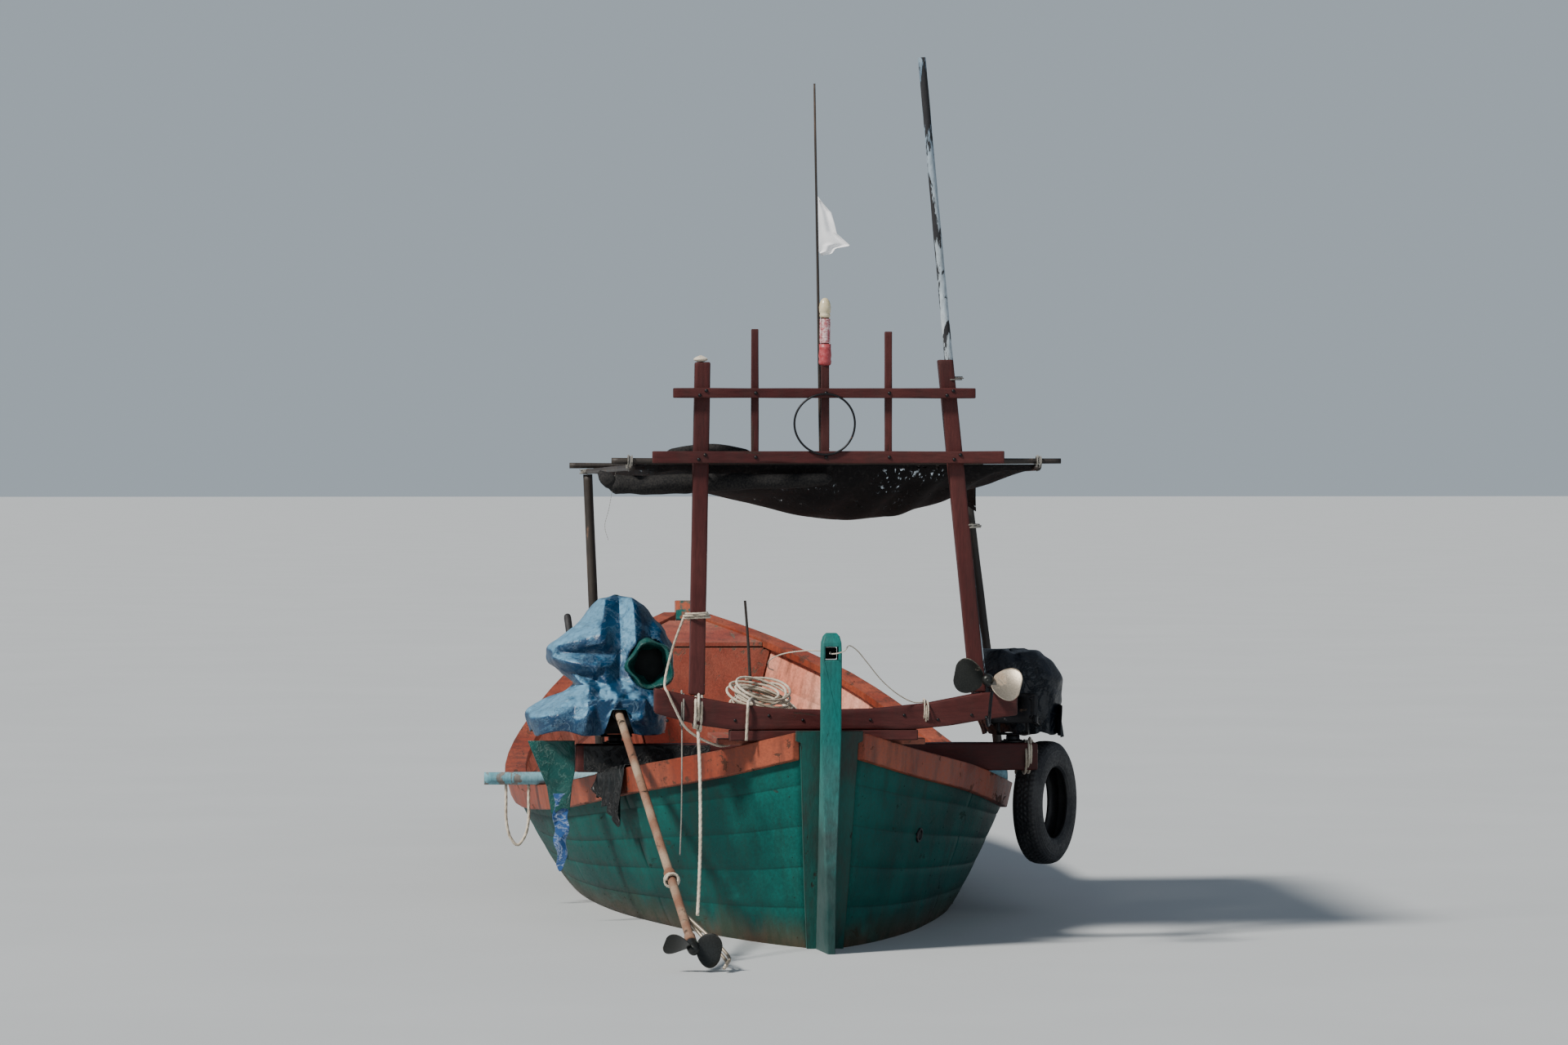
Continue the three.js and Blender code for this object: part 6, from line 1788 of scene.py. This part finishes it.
def build_slings(white, grey):
    """The taut lines at the stern's port side: two slings from the yoke to the port tail, and the line from
    the rail over the yoke's end to the gallows."""
    slings = {
        "sling_white": ([(0.31, 0.552, 0.972), (0.14, 0.556, 0.8), (-0.1, 0.571, 0.5), (-0.3, 0.592, 0.3),
                         (-0.43, 0.607, 0.205)], 0.016, white),
        "sling_grey": ([(0.31, 0.622, 0.985), (0.2, 0.63, 0.8), (0.08, 0.64, 0.6), (0.0, 0.652, 0.43)],
                       0.007, grey),
    }
    for name, (points, diameter, material) in slings.items():
        obj, path = rope(name, aboard(points), diameter, material, None)
        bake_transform(obj)
    knot("sling_turns", (fore(0.305), 0.553, 1.04), (0.106, 0.155), 0.014, white, axis="y", seed=82)
    turns_at = (fore(0.305), 0.622, 1.055)
    knot("sling_turns_grey", turns_at, (0.102, 0.138), 0.008, grey, turns=2, axis="y", seed=83)
    tail = tuple(engine_place("port", np.array([-2.02, 0.0, SHAFT_UP])))
    knot("sling_tail_turns", tail, (0.056, 0.056), 0.012, white, "port_drive", axis="x", seed=84)
    rail = [(0.42, 0.405, 0.885), (0.36, 0.46, 0.885), (0.28, 0.6, 0.96), (0.24, 0.66, 1.06),
            (0.235, 0.69, 1.125), (0.26, 0.7, 1.146), (0.3, 0.695, 1.19), (0.33, 0.66, 1.32),
            (0.345, 0.61, 1.455)]
    rope("rail_line", aboard(rail), 0.012, white)
    knot("rail_line_turns", (fore(0.307), 0.557, 1.46), (0.108, 0.104), 0.01, white, seed=85)


# ---------------------------------------------------------------- flag, hoop and inside


def build_flag():
    """The flag staff, the torn flag and the wire hoop."""
    x = fore(0.3186)
    staff = pole("flag_staff_cane", (x, 0.01, 2.13), (x, 0.038, 3.794), 0.008, 0.005, "dark_upright",
                 seed=90, wander=0.0015, knots=0.0005)
    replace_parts(staff, "flag_staff")
    z_key = np.array([3.052, 3.062, 3.085, 3.096, 3.15, 3.24, 3.3])
    reach = np.array([0.004, 0.058, 0.074, 0.14, 0.08, 0.06, 0.004])
    v, u = down(60), across(46)
    z = 3.053 + (3.298 - 3.053) * v
    hoist = 0.01 + 0.028 * (z - 2.13) / 1.664 - 0.0072
    y = hoist - u * np.interp(z, z_key, reach)
    ripple = 0.008 * np.sin(9 * u + 4 * v) * u + 0.003 * np.sin(15 * v + 3 * u) * u
    grid = surface(x + ripple, y, z - 0.014 * u**2)
    flag = shell("flag_sheet", grid, 0.0012, "flag")
    stand_in(flag, "flag")
    a = np.linspace(0, 2 * np.pi, 120, endpoint=False)
    r = 0.133 + 0.0012 * np.sin(3 * a + 1)
    centre = np.array([fore(0.2322), 0, 2.298])
    ring = surface(centre[0], r * np.cos(a), centre[2] + r * np.sin(a))
    radial = (ring - centre) / r[:, None]
    b = round_turn(10)
    points = ring[:, None] + 0.0047 * (np.cos(b)[None, :, None] * radial[:, None]
                                       + np.sin(b)[None, :, None] * X_AXIS)
    hoop = make_object("hoop_wire", points, tube_faces(len(a), len(b), True), "steel")
    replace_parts(hoop, "hoop")


def inner_half(s, z, depth):
    """Half width inside the hull at a height for each station."""
    line = section(s, depth)
    return np.array([np.interp(z, row[:, 1], row[:, 0]) for row in line])


FLOOR_TOP, FLOOR_UNDER = 0.1247, 0.1003


def lay_boards(s, depth, rng):
    """Boards side by side along the boat over the stations s, as wide in all as the hull is inside at that
    depth from its skin, with gaps between them and each a little out of line."""
    half = np.minimum(inner_half(s, 0.1, depth), inner_half(s, 0.125, depth)) - 0.002
    round_off = np.array([0.003, 0.0008, 0, 0, 0, 0.0008, 0.003])
    boards = []
    edges = np.arange(0, 0.9, 0.145)
    for hand in (1, -1):
        for k, low in enumerate(edges):
            keep = half > low + 0.03
            if keep.sum() < 3:
                continue
            places = s[keep]
            far = np.minimum(low + 0.142, half[keep])
            lift = rng.uniform(-0.0015, 0.0) + 0.0008 * np.sin(places * 3 + k)
            near = low + 0.002
            cross = near + (far - near)[:, None] * across(7)
            top = surface(fore(places)[:, None], hand * cross, FLOOR_TOP + lift[:, None] - round_off)
            under = surface(top[..., 0], top[..., 1], FLOOR_UNDER)
            boards.append(two_faced("board", top, under, "inside_floor"))
    return boards


def build_floor():
    """The laid floor, and the shorter boards that close the bow between it and the bulkhead."""
    rng = np.random.default_rng(12)
    obj = join_pieces("floor_boards_laid", lay_boards(np.linspace(1.2, 7.0, 60), 0.0925, rng))
    stand_in(obj, "floor_boards")
    bow = join_pieces("bow_boards_laid", lay_boards(np.linspace(7.004, 8.082, 14), 0.034, rng))


def build_kept():
    """Gives the CAD nodes that keep their shape their materials, and eases the edges of the wooden ones."""
    for node, name in CARRIED.items():
        obj = NODES[node]
        obj.material_slots[0].material = MATERIALS[name]
        weld = obj.modifiers.new("weld", "WELD")
        weld.merge_threshold = 0.00005
        bevel = obj.modifiers.new("edge", "BEVEL")
        bevel.width = 0.005
        bevel.segments = 2
        bevel.limit_method = "ANGLE"
        bevel.angle_limit = math.radians(35)


# ---------------------------------------------------------------- stage and panel


class BoatSettings(bpy.types.PropertyGroup):
    """Sizes and light that set the looks."""

    seam_depth: bpy.props.FloatProperty(
        name="Seam depth", description="Depth of the grooves between the hull's planks", default=0.003,
        min=0.0, max=0.01, unit="LENGTH")
    lens: bpy.props.FloatProperty(
        name="Lens", description="Focal length of the camera in millimetres", default=128.0, min=20.0,
        max=300.0)
    key_power: bpy.props.FloatProperty(
        name="Key light", description="Strength of the soft sun on the port side", default=5.6, min=0.0,
        max=20.0)
    sky: bpy.props.FloatProperty(
        name="Sky light", description="Strength of the even light from all round", default=0.3, min=0.0,
        max=4.0)


CAMERA_AT, CAMERA_AIM = (-28.568, 2.322, 2.1), (-3.5, 0.112, 1.86)
SKY_TONE, WALL_TONE = (0.62, 0.74, 0.9), (0.36, 0.42, 0.47)
STAGE_HALF = 400


def build_stage(settings):
    """A pale floor at the waterline, soft studio light and the camera at the photograph's viewing angle."""
    corners = [(STAGE_HALF * x, STAGE_HALF * y, 0) for x, y in ((-1, -1), (1, -1), (1, 1), (-1, 1))]
    floor = make_object("studio_floor", corners, [(0, 1, 2, 3)], "floor", None, False)
    scene = bpy.context.scene
    world = bpy.data.worlds.new("studio_sky")
    world.use_nodes = True
    world.node_tree.nodes.clear()
    t = Tree(world.node_tree)
    sky = t.add("ShaderNodeBackground", {"Color": SKY_TONE, "Strength": settings.sky})
    wall = t.add("ShaderNodeBackground", {"Color": WALL_TONE, "Strength": 1.0})
    seen = t.add("ShaderNodeLightPath").outputs["Is Camera Ray"]
    both = t.add("ShaderNodeMixShader", {0: seen, 1: sky.outputs[0], 2: wall.outputs[0]})
    t.set(t.add("ShaderNodeOutputWorld").inputs["Surface"], both.outputs[0])
    scene.world = world
    for name, way, power, spread, colour in (
        ("key", (-0.42, 0.74, 0.86), settings.key_power, 9.0, (1.0, 0.96, 0.9)),
        ("fill", (-0.9, -0.5, 0.45), settings.key_power * 0.08, 50.0, (0.86, 0.93, 1.0)),
    ):
        data = bpy.data.lights.new(name, "SUN")
        data.energy, data.angle, data.color = power, math.radians(spread), colour
        lamp = bpy.data.objects.new(name, data)
        scene.collection.objects.link(lamp)
        lamp.rotation_euler = (-Vector(way)).to_track_quat("-Z", "Y").to_euler()
    data = bpy.data.cameras.new("camera")
    data.lens, data.sensor_width = settings.lens, 36.0
    data.clip_end = 2000.0
    camera = bpy.data.objects.new("camera", data)
    scene.collection.objects.link(camera)
    camera.location = CAMERA_AT
    camera.rotation_euler = (Vector(CAMERA_AIM) - camera.location).to_track_quat("-Z", "Y").to_euler()
    scene.camera = camera


class BoatStep:
    """What the boat's operators share: they can be undone and read the scene's boat settings."""

    bl_options = {"REGISTER", "UNDO"}


class BOAT_OT_planks(BoatStep, bpy.types.Operator):
    """Build the hull's planks with their seams and nails"""

    bl_idname = "boat.planks"
    bl_label = "Hull planks"

    def execute(self, context):
        build_planks(context.scene.boat_settings)
        build_fastenings()
        build_outlet()
        return {"FINISHED"}


class BOAT_OT_floor(BoatStep, bpy.types.Operator):
    """Lay the floor boards"""

    bl_idname = "boat.floor"
    bl_label = "Floor boards"

    def execute(self, context):
        build_floor()
        return {"FINISHED"}


class BOAT_OT_stern_works(BoatStep, bpy.types.Operator):
    """Build the yoke, the gallows and the lamp"""

    bl_idname = "boat.stern_works"
    bl_label = "Yoke and gallows"

    def execute(self, context):
        build_stern_works()
        return {"FINISHED"}


class BOAT_OT_canopy(BoatStep, bpy.types.Operator):
    """Build the canopy's poles and its shade net"""

    bl_idname = "boat.canopy"
    bl_label = "Canopy"

    def execute(self, context):
        build_canopy()
        return {"FINISHED"}


class BOAT_OT_poles(BoatStep, bpy.types.Operator):
    """Build the engine beam and the loose poles"""

    bl_idname = "boat.poles"
    bl_label = "Beam and poles"

    def execute(self, context):
        build_beam_and_poles()
        return {"FINISHED"}


class BOAT_OT_engines(BoatStep, bpy.types.Operator):
    """Build the engines, tail tubes and propellers"""

    bl_idname = "boat.engines"
    bl_label = "Engines and tails"

    def execute(self, context):
        build_engines()
        return {"FINISHED"}


class BOAT_OT_covers(BoatStep, bpy.types.Operator):
    """Drape the covers over the engines and hang the green skirt"""

    bl_idname = "boat.covers"
    bl_label = "Covers"

    def execute(self, context):
        build_covers()
        return {"FINISHED"}


class BOAT_OT_tyre(BoatStep, bpy.types.Operator):
    """Build the tyre and its ropes"""

    bl_idname = "boat.tyre"
    bl_label = "Tyre"

    def execute(self, context):
        build_tyre()
        return {"FINISHED"}


class BOAT_OT_ropes(BoatStep, bpy.types.Operator):
    """Lay the rope heap, the loop, the line through the stern post and the slings"""

    bl_idname = "boat.ropes"
    bl_label = "Ropes"

    def execute(self, context):
        build_ropes()
        return {"FINISHED"}


class BOAT_OT_flag(BoatStep, bpy.types.Operator):
    """Build the flag, its staff and the hoop"""

    bl_idname = "boat.flag"
    bl_label = "Flag and hoop"

    def execute(self, context):
        build_flag()
        return {"FINISHED"}


class BOAT_OT_kept(BoatStep, bpy.types.Operator):
    """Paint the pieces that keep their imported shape"""

    bl_idname = "boat.kept"
    bl_label = "Kept pieces"

    def execute(self, context):
        build_kept()
        return {"FINISHED"}


class BOAT_OT_stage(BoatStep, bpy.types.Operator):
    """Set the floor at the waterline, the light and the camera"""

    bl_idname = "boat.stage"
    bl_label = "Stage"

    def execute(self, context):
        build_stage(context.scene.boat_settings)
        return {"FINISHED"}


STEPS = (
    BOAT_OT_planks, BOAT_OT_floor, BOAT_OT_stern_works, BOAT_OT_canopy, BOAT_OT_poles, BOAT_OT_engines,
    BOAT_OT_covers, BOAT_OT_tyre, BOAT_OT_ropes, BOAT_OT_flag, BOAT_OT_kept, BOAT_OT_stage,
)


class BOAT_PT_panel(bpy.types.Panel):
    """Settings and steps of the boat, in the 3D view's sidebar"""

    bl_idname = "BOAT_PT_panel"
    bl_label = "Longtail boat"
    bl_space_type = "VIEW_3D"
    bl_region_type = "UI"
    bl_category = "Boat"

    def draw(self, context):
        settings = context.scene.boat_settings
        for name in ("seam_depth", "lens", "key_power", "sky"):
            self.layout.prop(settings, name)
        for step in STEPS:
            self.layout.operator(step.bl_idname)


def register():
    bpy.utils.register_class(BoatSettings)
    for step in STEPS:
        bpy.utils.register_class(step)
    bpy.utils.register_class(BOAT_PT_panel)
    bpy.types.Scene.boat_settings = bpy.props.PointerProperty(type=BoatSettings)


def unregister():
    del bpy.types.Scene.boat_settings
    bpy.utils.unregister_class(BOAT_PT_panel)
    for step in reversed(STEPS):
        bpy.utils.unregister_class(step)
    bpy.utils.unregister_class(BoatSettings)


def main():
    """Registers the add-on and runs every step."""
    register()
    make_materials()
    for step in STEPS:
        family, name = step.bl_idname.split(".")
        getattr(getattr(bpy.ops, family), name)()


if __name__ == "__main__":
    main()
